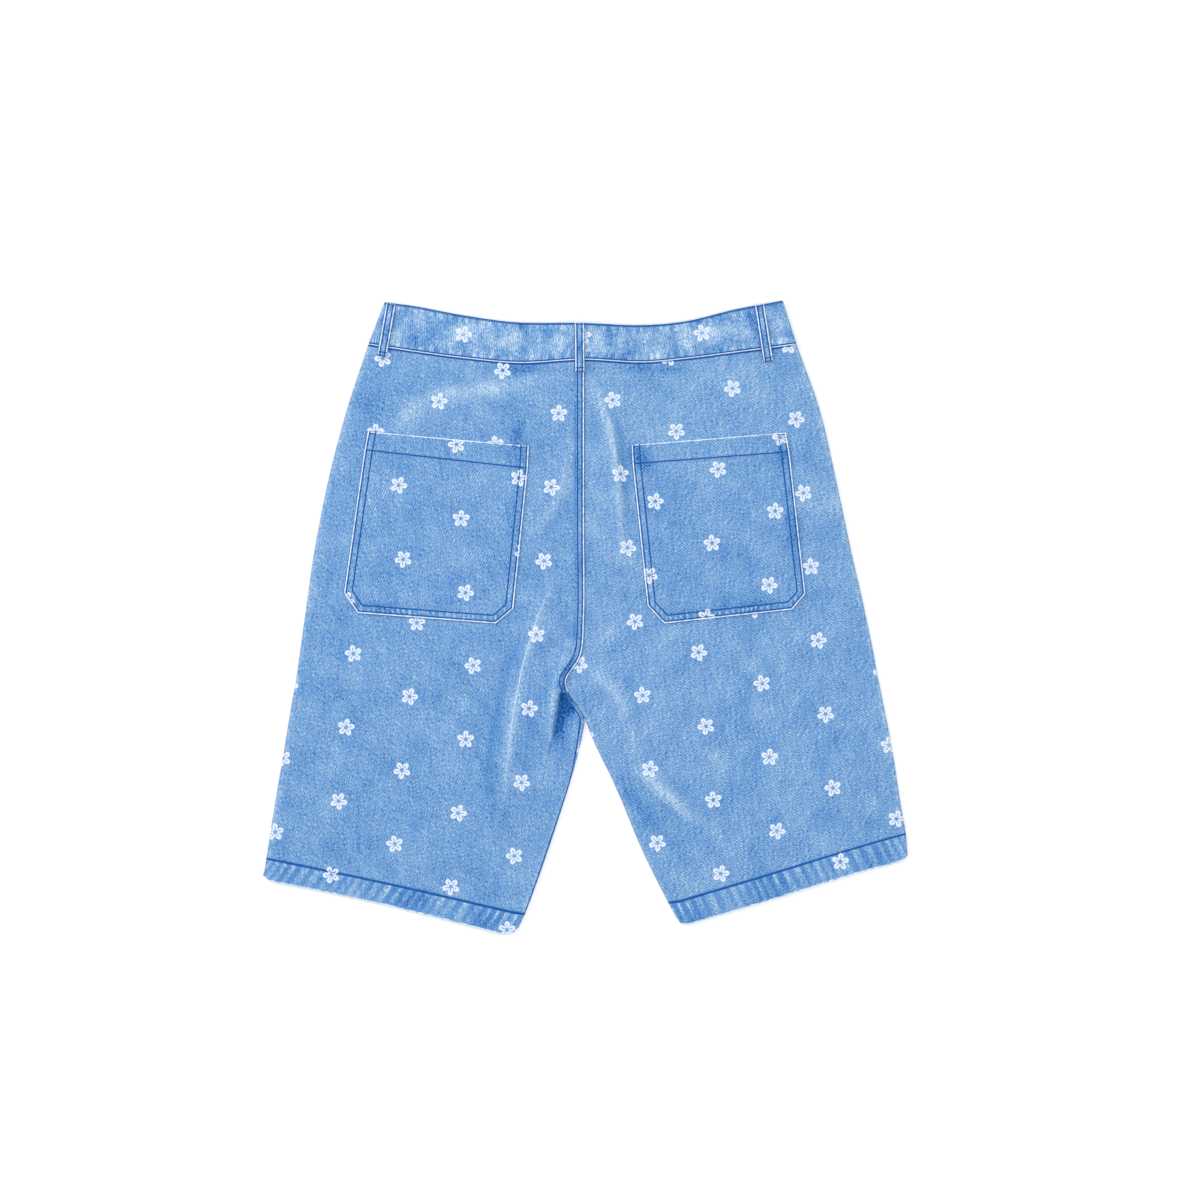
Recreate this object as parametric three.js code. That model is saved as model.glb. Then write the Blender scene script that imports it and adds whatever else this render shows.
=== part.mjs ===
// A pair of loose denim shorts laid flat on their front, with the back uppermost.
// Each leg is a back panel and a front panel. The back panel curls round the leg's sides and
// meets the front panel on the underside. A doubled waistband runs right round the top, and
// two patch pockets and five belt loops lie on the outside.
// Millimetres: +X to the right of someone facing the back of the shorts, +Y towards the waist,
// +Z up from the surface that they lie on. The origin is under the middle of the outline.
import * as THREE from "three";

// Cloth and seams
const DENIM = 1.2;
const HEM_DENIM = 1.8;
const POCKET_DENIM = 1.1;
const BAND_DENIM = 2.0;
const LOOP_DENIM = 1.4;
const SEAM_GAP = 0.3;
const SIDE_GAP = 0.4;
const WAIST_GAP = 0.45;
const LAID_ON_GAP = 0.5;
const CURL_SOFTENS = 0.5;

// How the legs lie
const EDGE_RADIUS = 2.4;
const EDGE_TOP = 2 * EDGE_RADIUS;
const EDGE_FADE = 20;
const CURL_LENGTH = Math.PI * EDGE_RADIUS;
const SEAT_HEIGHT = 4.3;
const LEAST_HEIGHT = 2 * DENIM + SEAM_GAP;
const SWELL = 0.35;
const HEM_PUFF = 0.5;
const FELLED_SEAM_RAISE = 1.0;
const WAIST_RISE = { from: 178, to: 226 };
const CROTCH = { from: -92, to: -64 };

// The waist, from the seam under the band up to its top edge
const BAND_RADIUS = 2.5;
const BAND_FLOOR = 1.7;
const BAND_STEP = 0.8;
const CLOSURE_X = 4;
const UNDERLAP = 30;
const LAP_RAMP = { from: 12, to: 34 };
const CLOSURE_LIFT = 1.9;
const CLOSURE_LIFT_WIDTH = 22;
const CLOSURE_BULGE = 4.4;
const CLOSURE_BULGE_WIDTH = 48;
const BUTTON_X = -9;
const BUTTON_Y = 248;
const BUTTON_RADIUS = 8.5;
const BUTTON_THICKNESS = 2.6;
const BUTTON_FLOOR = 0.2;

// Edges of each leg, from the hem to the waist seam. A row runs straight across the leg from
// its outer side to its inner side, and curl says how far the inner side has turned under.
const LEFT_ROWS = [
  { at: "hem edge", outX: -322, outY: -260, inX: -71, inY: -317.5, curl: 1, cuts: 2 },
  { at: "hem stitch", outX: -318.7, outY: -240, inX: -60.5, inY: -296.5, curl: 1, cuts: 3 },
  { at: "knee side", outX: -310, outY: -184, inX: -37.5, inY: -232, curl: 1, cuts: 4 },
  { at: "thigh", outX: -302.5, outY: -140, inX: -13.8, inY: -158, curl: 1, cuts: 3 },
  { at: "upper thigh", outX: -294, outY: -88, inX: -3, inY: -116, curl: 1, cuts: 2 },
  { at: "legs meet", outX: -289, outY: -60, inX: -1.5, inY: -98.8, curl: 1, cuts: 2 },
  { at: "crotch", outX: -285, outY: -33, inX: -16.8, inY: -73.5, curl: 0.35, cuts: 2 },
  { at: "seam turn", outX: -281, outY: -3, inX: -19, inY: -62, curl: 0, cuts: 2 },
  { at: "seam bend", outX: -277, outY: 25, inX: -4.5, inY: -37, curl: 0, cuts: 2 },
  { at: "seat", outX: -272, outY: 60, inX: -1, inY: 0, curl: 0, cuts: 4 },
  { at: "pocket", outX: -258.5, outY: 131, inX: -1, inY: 90, curl: 0, cuts: 4 },
  { at: "hip", outX: -239, outY: 207, inX: -1, inY: 175, curl: 0, cuts: 5 },
  { at: "waist seam", outX: -217, outY: 273, inX: -1, inY: 257, curl: 0, cuts: 0 },
];
const RIGHT_ROWS = [
  { at: "hem edge", outX: 322, outY: -240, inX: 95, inY: -307, curl: 1, cuts: 2 },
  { at: "hem stitch", outX: 320, outY: -215, inX: 83, inY: -286, curl: 1, cuts: 3 },
  { at: "knee side", outX: 314, outY: -180, inX: 57, inY: -232, curl: 1, cuts: 4 },
  { at: "thigh", outX: 306, outY: -128, inX: 29, inY: -165.5, curl: 1, cuts: 3 },
  { at: "upper thigh", outX: 297.5, outY: -85, inX: 6.5, inY: -119, curl: 1, cuts: 2 },
  { at: "legs meet", outX: 292, outY: -57, inX: -0.6, inY: -98.8, curl: 1, cuts: 2 },
  { at: "crotch", outX: 287, outY: -31, inX: -15.9, inY: -73.5, curl: 0.35, cuts: 2 },
  { at: "seam turn", outX: 281, outY: -2, inX: -18.7, inY: -62, curl: 0, cuts: 2 },
  { at: "seam bend", outX: 275, outY: 26, inX: -4.2, inY: -37, curl: 0, cuts: 2 },
  { at: "seat", outX: 267, outY: 60, inX: -0.7, inY: 0, curl: 0, cuts: 4 },
  { at: "pocket", outX: 251.5, outY: 133, inX: -0.7, inY: 90, curl: 0, cuts: 4 },
  { at: "hip", outX: 234, outY: 209, inX: -0.7, inY: 175, curl: 0, cuts: 5 },
  { at: "waist seam", outX: 211, outY: 273, inX: -0.7, inY: 257, curl: 0, cuts: 0 },
];
const CROTCH_ROW = 6;
const HEM_STITCH_ROW = 1;
const STITCH_STEP = 0.04;

// Curved edges, as heights above the origin at places across the shorts
const LEFT_HEM = [
  { x: -322, y: -260 },
  { x: -245, y: -275.5 },
  { x: -170, y: -292.5 },
  { x: -71, y: -317.5 },
];
const RIGHT_HEM = [
  { x: 95, y: -307 },
  { x: 175, y: -283.5 },
  { x: 265, y: -255.5 },
  { x: 322, y: -240 },
];
const BACK_WAIST_SEAM = [
  { x: -217, y: 273 },
  { x: -165, y: 265 },
  { x: -118, y: 259 },
  { x: -65, y: 254.5 },
  { x: -1, y: 257.5 },
  { x: 56, y: 255 },
  { x: 102, y: 259 },
  { x: 157, y: 266 },
  { x: 211, y: 273 },
];
const FRONT_WAIST_SEAM = [
  { x: -217, y: 273 },
  { x: -150, y: 246 },
  { x: -90, y: 234 },
  { x: 4, y: 228 },
  { x: 90, y: 234 },
  { x: 150, y: 246 },
  { x: 211, y: 273 },
];

// Sections of the waistband, from one side fold to the other: its top edge over its seam
const BACK_BAND = [
  { topX: -200.5, topY: 316, seamX: -217 },
  { topX: -170, topY: 312, seamX: -180 },
  { topX: -125, topY: 303.5, seamX: -131 },
  { topX: -70, topY: 296, seamX: -73 },
  { topX: -5, topY: 295, seamX: -5 },
  { topX: 55, topY: 293, seamX: 56 },
  { topX: 100, topY: 297, seamX: 103 },
  { topX: 150, topY: 309, seamX: 157 },
  { topX: 197, topY: 317.5, seamX: 211 },
];
const FRONT_BAND = [
  { topX: -200.5, topY: 316, seamX: -217 },
  { topX: -145, topY: 289, seamX: -152 },
  { topX: -88, topY: 275, seamX: -91 },
  { topX: 0, topY: 268, seamX: 0 },
  { topX: 88, topY: 275, seamX: 91 },
  { topX: 143, topY: 290, seamX: 150 },
  { topX: 197, topY: 317.5, seamX: 211 },
];

// Soft folds of the back. Each follows a bent line and is higher than the cloth beside it by
// its height, falling away over one width on its left and another on its right.
const FOLDS = [
  { at: "left hip", ends: [-30, 246, -182, 188], by: [-122, 232], height: 3.2, left: 13, right: 15 },
  { at: "seat, right of the seam", ends: [8, 244, 34, 56], by: [34, 178], height: 5.2, left: 10, right: 8 },
  { at: "seat, left of the seam", ends: [-14, 196, -46, 92], by: [-20, 126], height: 2.4, left: 13, right: 8 },
  { at: "left leg crease", ends: [-33, 34, -88, -206], by: [-76, -76], height: 4.4, left: 9, right: 19 },
  { at: "crotch, right leg", ends: [2, -44, 40, -130], by: [30, -66], height: 3.0, left: 13, right: 15 },
  { at: "right leg crease", ends: [44, -148, 106, -204], by: [80, -170], height: 3.4, left: 10, right: 12 },
  { at: "left thigh swell", ends: [-228, -70, -170, -190], by: [-190, -110], height: 1.4, left: 40, right: 40 },
  { at: "right thigh swell", ends: [220, -60, 170, -190], by: [200, -120], height: 1.4, left: 40, right: 40 },
];
// The pleat beside the crotch: a steep lip that drops into a hollow by the inner seam.
const PLEAT = { ends: [-13, -34, -34, -126], by: [-27, -66], height: 5.6, left: 15, right: 3.2 };
const HOLLOW = { x: -19, y: -92, acrossX: 8, alongY: 30, depth: 1.6 };

// Patch pockets, from the bottom edge to the mouth
const LEFT_POCKET = [
  { at: "bottom", leftX: -227.5, leftY: 5, rightX: -89.5, rightY: -5.5, cuts: 2 },
  { at: "corner", leftX: -241.5, leftY: 25.5, rightX: -71.5, rightY: 9.5, cuts: 8 },
  { at: "mouth stitch", leftX: -221, leftY: 168.5, rightX: -57, rightY: 150, cuts: 2 },
  { at: "mouth", leftX: -217.5, leftY: 187, rightX: -56, rightY: 172.5, cuts: 0 },
];
const RIGHT_POCKET = [
  { at: "bottom", leftX: 78.5, leftY: -5.5, rightX: 206.5, rightY: 8.5, cuts: 2 },
  { at: "corner", leftX: 61.5, leftY: 12.5, rightX: 220, rightY: 24.5, cuts: 8 },
  { at: "mouth stitch", leftX: 46.5, leftY: 154.5, rightX: 204, rightY: 166.5, cuts: 2 },
  { at: "mouth", leftX: 45.5, leftY: 173.5, rightX: 200.5, rightY: 186, cuts: 0 },
];
const POCKET_COLUMNS = 12;
const POCKET_HEM_RAISE = 0.6;

// Belt loops: where the middle of each end lies, and how far the low end steps down off the band
const LOOP_WIDTH = 10;
const LOOP_STAND_OFF = 1.1;
const LOOP_CUTS = 10;
const BACK_LOOPS = [
  { name: "loop_back_left", topX: -193.8, topY: 314, lowX: -203, lowY: 261.5, step: 0.8 },
  { name: "loop_back_centre", topX: -6, topY: 294.5, lowX: -5.5, lowY: 245.5, step: 0 },
  { name: "loop_back_right", topX: 173.5, topY: 313, lowX: 182.5, lowY: 256, step: 0.8 },
];
const FRONT_LOOPS = [
  { name: "loop_front_left", topX: -112, topY: 280, lowX: -118, lowY: 228 },
  { name: "loop_front_right", topX: 112, topY: 280, lowX: 118, lowY: 228 },
];

const DENIM_BLUE = 0x7eaadb;
const BUTTON_GREY = 0x8d8f92;
const denim = () => new THREE.MeshStandardMaterial({ color: DENIM_BLUE, roughness: 0.95, metalness: 0 });
const metal = () => new THREE.MeshStandardMaterial({ color: BUTTON_GREY, roughness: 0.4, metalness: 1 });

const { lerp, clamp, smoothstep } = THREE.MathUtils;
const bell = (x) => Math.exp(-x * x);

// Height of a curved edge at x, smoothly through its points
function edgeAt(points, x) {
  const last = points.length - 1;
  let i = 0;
  while (i < last - 1 && x > points[i + 1].x) i++;
  const [a, b] = [points[i], points[i + 1]];
  const slope = (p, q) => (q.y - p.y) / (q.x - p.x);
  const slopeAtA = i > 0 ? slope(points[i - 1], b) : slope(a, b);
  const slopeAtB = i < last - 1 ? slope(a, points[i + 2]) : slope(a, b);
  const span = b.x - a.x;
  const t = clamp((x - a.x) / span, 0, 1);
  return (
    (2 * t ** 3 - 3 * t ** 2 + 1) * a.y +
    (t ** 3 - 2 * t ** 2 + t) * span * slopeAtA +
    (3 * t ** 2 - 2 * t ** 3) * b.y +
    (t ** 3 - t ** 2) * span * slopeAtB
  );
}

// A place on a table of rows, where whole numbers are the rows themselves
function rowCurve(rows, xColumn, yColumn) {
  const points = rows.map((row) => new THREE.Vector3(row[xColumn], row[yColumn], 0));
  return new THREE.CatmullRomCurve3(points, false, "centripetal");
}

// The places on a table where the mesh has a row, closer where cuts asks for more, with a step
// on both sides of a line of stitches
function rowPlaces(rows, stitchRow) {
  const places = rows.flatMap((row, i) =>
    Array.from({ length: row.cuts }, (_, k) => i + k / row.cuts),
  );
  const around = (place) => (place === stitchRow ? [place - STITCH_STEP, place + STITCH_STEP] : [place]);
  return [...places.flatMap(around), rows.length - 1];
}

// How far (x, y) lies to the right of a fold's line, and how much of its height is left there
function besideFold(fold, x, y) {
  const [startX, startY, endX, endY] = fold.ends;
  const [byX, byY] = fold.by;
  const steps = 12;
  let best = { distance: Infinity, along: 0, side: 1 };
  let [fromX, fromY] = [startX, startY];
  for (let k = 1; k <= steps; k++) {
    const t = k / steps;
    const toX = (1 - t) ** 2 * startX + 2 * t * (1 - t) * byX + t * t * endX;
    const toY = (1 - t) ** 2 * startY + 2 * t * (1 - t) * byY + t * t * endY;
    const [dx, dy] = [toX - fromX, toY - fromY];
    const share = ((x - fromX) * dx + (y - fromY) * dy) / (dx * dx + dy * dy);
    const held = clamp(share, 0, 1);
    const distance = Math.hypot(x - fromX - held * dx, y - fromY - held * dy);
    if (distance < best.distance) {
      const side = dx * (y - fromY) - dy * (x - fromX);
      best = { distance, along: (k - 1 + held) / steps, side };
    }
    [fromX, fromY] = [toX, toY];
  }
  const offset = Math.sign(best.side) * best.distance;
  const fade = Math.sin(Math.PI * clamp(best.along * 0.9 + 0.05, 0, 1)) ** 0.7;
  return { offset, fade };
}

// Every fold's line runs down the shorts, so its left is where the offset is negative
function foldHeight(fold, x, y) {
  const { offset, fade } = besideFold(fold, x, y);
  return fold.height * fade * bell(offset / (offset < 0 ? fold.left : fold.right));
}

// Outer height of the waistband on the back, raised in the middle by the closure under it
const bandHeight = (x) =>
  BAND_FLOOR + 2 * BAND_RADIUS + CLOSURE_BULGE * bell(x / CLOSURE_BULGE_WIDTH);

// How much the cloth at height y has risen to the waist seam
const waistRise = (y) => smoothstep(y, WAIST_RISE.from, WAIST_RISE.to);

// Place on a leg's side at height y
function sideAt(rows, xColumn, yColumn, y) {
  const points = rows.map((row) => ({ x: row[yColumn], y: row[xColumn] }));
  return edgeAt(points, clamp(y, points[0].x, points[points.length - 1].x));
}

// Outer height of a back panel over the surface that the shorts lie on
function backHeight(rows, x, y) {
  const swell = Math.sin(x / 31 + y / 47) + Math.sin(y / 26 - x / 58);
  let height = SEAT_HEIGHT + SWELL * swell;
  for (const fold of FOLDS) height += foldHeight(fold, x, y);
  if (rows === LEFT_ROWS) {
    height += foldHeight(PLEAT, x, y);
    const across = (x - HOLLOW.x) / HOLLOW.acrossX;
    height -= HOLLOW.depth * bell(across) * bell((y - HOLLOW.y) / HOLLOW.alongY);
  }
  height = Math.max(height, LEAST_HEIGHT);
  height = lerp(height, bandHeight(x) - BAND_STEP, waistRise(y));
  const fromOuter = Math.abs(x - sideAt(rows, "outX", "outY", y)) - EDGE_RADIUS;
  const outerHold = 1 - smoothstep(fromOuter, 0, EDGE_FADE);
  height = lerp(height, lerp(EDGE_TOP, bandHeight(x) - BAND_STEP, waistRise(y)), outerHold);
  const legRows = rows.slice(0, CROTCH_ROW + 1);
  const fromInner = Math.abs(x - sideAt(legRows, "inX", "inY", y)) - EDGE_RADIUS;
  const innerHold = 1 - smoothstep(fromInner, 0, EDGE_FADE / 3);
  const belowCrotch = 1 - smoothstep(y, CROTCH.from, CROTCH.to);
  return lerp(height, EDGE_TOP, innerHold * belowCrotch);
}

// Bends a straight row to the curve of the hem or of the waist seam, where it is near either
function bender(rows, hem, hemShorter, waistSeam) {
  const lastRow = rows.length - 1;
  const chord = (row, x) => lerp(row.outY, row.inY, (x - row.outX) / (row.inX - row.outX));
  return (plan, place) => {
    const nearHem = 1 - smoothstep(place, 0, 2);
    const nearWaist = smoothstep(place, lastRow - 2, lastRow);
    const { x } = plan;
    plan.y += nearHem * (edgeAt(hem, x) + hemShorter - chord(rows[0], x));
    plan.y += nearWaist * (edgeAt(waistSeam, x) - WAIST_GAP - chord(rows[lastRow], x));
    return plan;
  };
}

// A closed wall between an outer and an inner grid of points
function wall(outer, inner) {
  const rows = outer.length;
  const columns = outer[0].length;
  const positions = [...outer.flat(), ...inner.flat()].flatMap((p) => p.toArray());
  const at = (layer, i, j) => (layer * rows + i) * columns + j;
  const triangles = [];
  const quad = (a, b, c, d) => triangles.push(a, b, c, a, c, d);
  for (let i = 0; i < rows - 1; i++) {
    for (let j = 0; j < columns - 1; j++) {
      quad(at(0, i, j), at(0, i, j + 1), at(0, i + 1, j + 1), at(0, i + 1, j));
      quad(at(1, i, j), at(1, i + 1, j), at(1, i + 1, j + 1), at(1, i, j + 1));
    }
  }
  for (let j = 0; j < columns - 1; j++) {
    quad(at(0, 0, j), at(1, 0, j), at(1, 0, j + 1), at(0, 0, j + 1));
    quad(at(0, rows - 1, j), at(0, rows - 1, j + 1), at(1, rows - 1, j + 1), at(1, rows - 1, j));
  }
  for (let i = 0; i < rows - 1; i++) {
    quad(at(0, i, 0), at(0, i + 1, 0), at(1, i + 1, 0), at(1, i, 0));
    quad(at(0, i, columns - 1), at(1, i, columns - 1), at(1, i + 1, columns - 1), at(0, i + 1, columns - 1));
  }
  const geometry = new THREE.BufferGeometry();
  geometry.setAttribute("position", new THREE.Float32BufferAttribute(positions, 3));
  geometry.setIndex(facingOut(positions, triangles));
  return geometry;
}

// The triangles, turned over if they enclose a negative volume
function facingOut(positions, triangles) {
  const corner = (n) => new THREE.Vector3().fromArray(positions, 3 * n);
  let volume = 0;
  for (let n = 0; n < triangles.length; n += 3) {
    const [a, b, c] = [corner(triangles[n]), corner(triangles[n + 1]), corner(triangles[n + 2])];
    volume += a.dot(b.cross(c));
  }
  return volume > 0 ? triangles : triangles.reverse();
}

const point = (plan, z) => new THREE.Vector3(plan.x, plan.y, z);

// A back panel: flat across the leg, curled right under at its outer side, and at its inner
// side either curled under below the crotch or laid flat along the centre seam
const ACROSS = [0, 0.03, 0.07, 0.13, 0.21, 0.3, 0.4, 0.5, 0.6, 0.69, 0.77, 0.83, 0.875, 0.91, 0.94, 0.97, 1];
const CURL_CUTS = 4;

function backPanel(rows, hem, seamRaise) {
  const outerSide = rowCurve(rows, "outX", "outY");
  const innerSide = rowCurve(rows, "inX", "inY");
  const lastRow = rows.length - 1;
  const bend = bender(rows, hem, 0, BACK_WAIST_SEAM);
  const outerGrid = [];
  const innerGrid = [];
  for (const place of rowPlaces(rows, HEM_STITCH_ROW)) {
    const i = Math.min(Math.floor(place), lastRow - 1);
    const curl = lerp(rows[i].curl, rows[i + 1].curl, place - i);
    const start = outerSide.getPoint(place / lastRow);
    const end = innerSide.getPoint(place / lastRow);
    const across = end.clone().sub(start).normalize();
    const inHem = place < HEM_STITCH_ROW;
    const cloth = inHem ? HEM_DENIM : DENIM;
    const puff = inHem ? HEM_PUFF : 0;
    const reach = (1 - curl) * CURL_LENGTH + EDGE_RADIUS * Math.sin(Math.PI * Math.min(curl, 0.5));
    const outerStart = start.clone().addScaledVector(across, EDGE_RADIUS);
    const innerStart = end.clone().addScaledVector(across, -reach);
    const inside = EDGE_RADIUS - cloth;
    const [outerRow, innerRow] = [[], []];
    const add = (plan, outerZ, innerPlan, innerZ) => {
      outerRow.push(point(plan, outerZ));
      innerRow.push(point(innerPlan, innerZ));
    };
    const rolled = (foot, direction, angle, raise) => {
      const turned = (radius) => foot.clone().addScaledVector(across, direction * radius * Math.sin(angle));
      const [plan, innerPlan] = [bend(turned(EDGE_RADIUS), place), bend(turned(inside), place)];
      const centre = bend(foot.clone(), place);
      const topZ = backHeight(rows, centre.x, centre.y);
      const lifted = (topZ - EDGE_TOP) * (1 + Math.cos(angle)) * 0.5;
      const z = (radius) => EDGE_RADIUS + radius * Math.cos(angle) + lifted;
      add(plan, z(EDGE_RADIUS) + raise, innerPlan, z(inside));
    };
    for (let k = CURL_CUTS; k > 0; k--) rolled(outerStart, -1, (Math.PI * k) / CURL_CUTS, 0);
    for (const share of ACROSS) {
      const plan = bend(outerStart.clone().lerp(innerStart, share), place);
      const settled = puff * Math.min(1, 8 * share, 8 * (1 - share));
      const z = backHeight(rows, plan.x, plan.y) + settled;
      add(plan, z, plan.clone(), z - cloth);
    }
    const raise = seamRaise * (1 - smoothstep(curl, 0, CURL_SOFTENS));
    for (let k = 1; k <= CURL_CUTS; k++) {
      const along = k / CURL_CUTS;
      const flat = Math.min(along, 1 - curl) * CURL_LENGTH;
      const foot = innerStart.clone().addScaledVector(across, flat);
      rolled(foot, 1, Math.PI * Math.max(0, along - (1 - curl)), raise);
    }
    outerGrid.push(outerRow);
    innerGrid.push(innerRow);
  }
  return wall(outerGrid, innerGrid);
}

// A front panel: the flat underside of a leg, between the two curled sides of its back panel,
// rising a little to the waistband
const FRONT_COLUMNS = 10;
const FRONT_HEM_SHORTER = 0.6;
const FRONT_RISE = { from: 10, to: 34 };

function frontPanel(rows, hem, side) {
  const centre = CLOSURE_X + (side * SEAM_GAP) / 2;
  const centreRows = [
    { inX: centre - 8, inY: -58 },
    { inX: centre, inY: -30 },
    { inX: centre, inY: 0 },
    { inX: centre, inY: 75 },
    { inX: centre, inY: 150 },
    { inX: centre, inY: 228 },
  ];
  const frontRows = rows.map((row, i) => ({ ...row, ...(centreRows[i - CROTCH_ROW - 1] ?? {}) }));
  const outerSide = rowCurve(frontRows, "outX", "outY");
  const innerSide = rowCurve(frontRows, "inX", "inY");
  const lastRow = rows.length - 1;
  const below = [];
  const above = [];
  const bend = bender(frontRows, hem, FRONT_HEM_SHORTER, FRONT_WAIST_SEAM);
  const fewerCuts = rows.map(({ cuts }, i) => ({ cuts: i < lastRow - 1 ? Math.ceil(cuts / 2) : cuts }));
  for (const place of rowPlaces(fewerCuts, HEM_STITCH_ROW)) {
    const i = Math.min(Math.floor(place), lastRow - 1);
    const curl = lerp(rows[i].curl, rows[i + 1].curl, place - i);
    const start = outerSide.getPoint(place / lastRow);
    const end = innerSide.getPoint(place / lastRow);
    const across = end.clone().sub(start).normalize();
    const from = start.clone().addScaledVector(across, EDGE_RADIUS + SIDE_GAP);
    const curled = smoothstep(curl, 0, CURL_SOFTENS);
    const to = end.clone().addScaledVector(across, -(EDGE_RADIUS + SIDE_GAP) * curled);
    const cloth = place < HEM_STITCH_ROW ? HEM_DENIM : DENIM;
    const [belowRow, aboveRow] = [[], []];
    for (let k = 0; k <= FRONT_COLUMNS; k++) {
      const plan = bend(from.clone().lerp(to, k / FRONT_COLUMNS), place);
      const fromSeam = edgeAt(FRONT_WAIST_SEAM, plan.x) - plan.y;
      const rise = 1 - smoothstep(fromSeam, FRONT_RISE.from, FRONT_RISE.to);
      const lift = rise * (BAND_FLOOR + closureLift(plan.x) + (BAND_DENIM - DENIM) / 2);
      belowRow.push(point(plan, lift));
      aboveRow.push(point(plan, lift + cloth));
    }
    below.push(belowRow);
    above.push(aboveRow);
  }
  return wall(above, below);
}

// The waistband: one doubled strip that runs from the closure at the front, round the left
// fold, across the back, round the right fold and back to the closure, where its right end
// passes over its left end
const closureLift = (x) => CLOSURE_LIFT * bell((x - BUTTON_X) / CLOSURE_LIFT_WIDTH);
const BAND_HEIGHT_CUTS = 3;
const BAND_LEFT_STEPS = 10;
const BAND_RIGHT_STEPS = 14;
const BAND_BACK_STEPS = 30;
const BAND_FOLD_STEPS = 6;
const BESIDE_FOLD = { front: 0.24, back: 0.3 };
const FOLD_LEAN = 0.07;

function waistband() {
  const outer = [];
  const inner = [];
  const section = (table, seam, place) => {
    const u = clamp(place / (table.length - 1), 0, 1);
    const top = rowCurve(table, "topX", "topY").getPoint(u);
    const foot = rowCurve(table.map((row) => ({ ...row, footY: 0 })), "seamX", "footY").getPoint(u);
    foot.y = edgeAt(seam, foot.x);
    return { foot, top };
  };
  const addSection = ({ foot, top }, sideways, outerShift, innerShift, outerZ, innerZ) => {
    const [outerRow, innerRow] = [[], []];
    for (let k = 0; k <= BAND_HEIGHT_CUTS; k++) {
      const plan = foot.clone().lerp(top, k / BAND_HEIGHT_CUTS);
      outerRow.push(point(plan.clone().addScaledVector(sideways, outerShift), outerZ));
      innerRow.push(point(plan.clone().addScaledVector(sideways, innerShift), innerZ));
    }
    outer.push(outerRow);
    inner.push(innerRow);
  };
  const level = new THREE.Vector3();
  const addFront = (place, overlap) => {
    const at = section(FRONT_BAND, FRONT_WAIST_SEAM, place);
    const low = BAND_FLOOR + closureLift(at.foot.x);
    const over = overlap * (BAND_DENIM + SEAM_GAP) * (1 - smoothstep(at.foot.x, LAP_RAMP.from, LAP_RAMP.to));
    addSection(at, level, 0, 0, low + over, low + over + BAND_DENIM);
  };
  const addBack = (place) => {
    const at = section(BACK_BAND, BACK_WAIST_SEAM, place);
    const high = bandHeight(at.foot.x);
    addSection(at, level, 0, 0, high, high - BAND_DENIM);
  };
  const addFold = (fold, inwards, direction) => {
    const foot = new THREE.Vector3(fold.seamX, edgeAt(BACK_WAIST_SEAM, fold.seamX), 0);
    const top = new THREE.Vector3(fold.topX, fold.topY, 0);
    const inside = BAND_RADIUS - BAND_DENIM;
    for (let k = 0; k <= BAND_FOLD_STEPS; k++) {
      const turned = (Math.PI * k) / BAND_FOLD_STEPS;
      const angle = direction > 0 ? Math.PI - turned : turned;
      const middle = BAND_FLOOR + BAND_RADIUS;
      addSection(
        { foot, top },
        inwards,
        BAND_RADIUS * (1 - Math.sin(angle)),
        BAND_RADIUS - inside * Math.sin(angle),
        middle + BAND_RADIUS * Math.cos(angle),
        middle + inside * Math.cos(angle),
      );
    }
  };
  const frontLast = FRONT_BAND.length - 1;
  const backLast = BACK_BAND.length - 1;
  const frontPlaceAt = (x) => {
    let [low, high] = [0, frontLast];
    while (high - low > 1e-4) {
      const middle = (low + high) / 2;
      if (section(FRONT_BAND, FRONT_WAIST_SEAM, middle).foot.x < x) low = middle;
      else high = middle;
    }
    return low;
  };
  const leftEnd = frontPlaceAt(CLOSURE_X);
  const rightEnd = frontPlaceAt(CLOSURE_X - UNDERLAP);
  for (let k = 0; k <= BAND_LEFT_STEPS; k++) {
    addFront(lerp(leftEnd, BESIDE_FOLD.front, k / BAND_LEFT_STEPS), 0);
  }
  addFold(BACK_BAND[0], new THREE.Vector3(1, -FOLD_LEAN, 0), 1);
  for (let k = 0; k <= BAND_BACK_STEPS; k++) {
    addBack(lerp(BESIDE_FOLD.back, backLast - BESIDE_FOLD.back, k / BAND_BACK_STEPS));
  }
  addFold(BACK_BAND[backLast], new THREE.Vector3(-1, -FOLD_LEAN, 0), -1);
  for (let k = 0; k <= BAND_RIGHT_STEPS; k++) {
    addFront(lerp(frontLast - BESIDE_FOLD.front, rightEnd, k / BAND_RIGHT_STEPS), 1);
  }
  return wall(outer, inner);
}

// A patch pocket laid on a back panel, thicker along its turned mouth
function pocket(rows, table) {
  const lastRow = table.length - 1;
  const outer = [];
  const inner = [];
  for (const place of rowPlaces(table, lastRow - 1)) {
    const i = Math.min(Math.floor(place), lastRow - 1);
    const mix = (column) => lerp(table[i][column], table[i + 1][column], place - i);
    const from = new THREE.Vector3(mix("leftX"), mix("leftY"), 0);
    const to = new THREE.Vector3(mix("rightX"), mix("rightY"), 0);
    const hem = place > lastRow - 1 ? POCKET_HEM_RAISE : 0;
    const [outerRow, innerRow] = [[], []];
    for (let k = 0; k <= POCKET_COLUMNS; k++) {
      const plan = from.clone().lerp(to, k / POCKET_COLUMNS);
      const low = backHeight(rows, plan.x, plan.y) + LAID_ON_GAP;
      outerRow.push(point(plan, low + POCKET_DENIM + hem));
      innerRow.push(point(plan, low));
    }
    outer.push(outerRow);
    inner.push(innerRow);
  }
  return wall(outer, inner);
}

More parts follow.
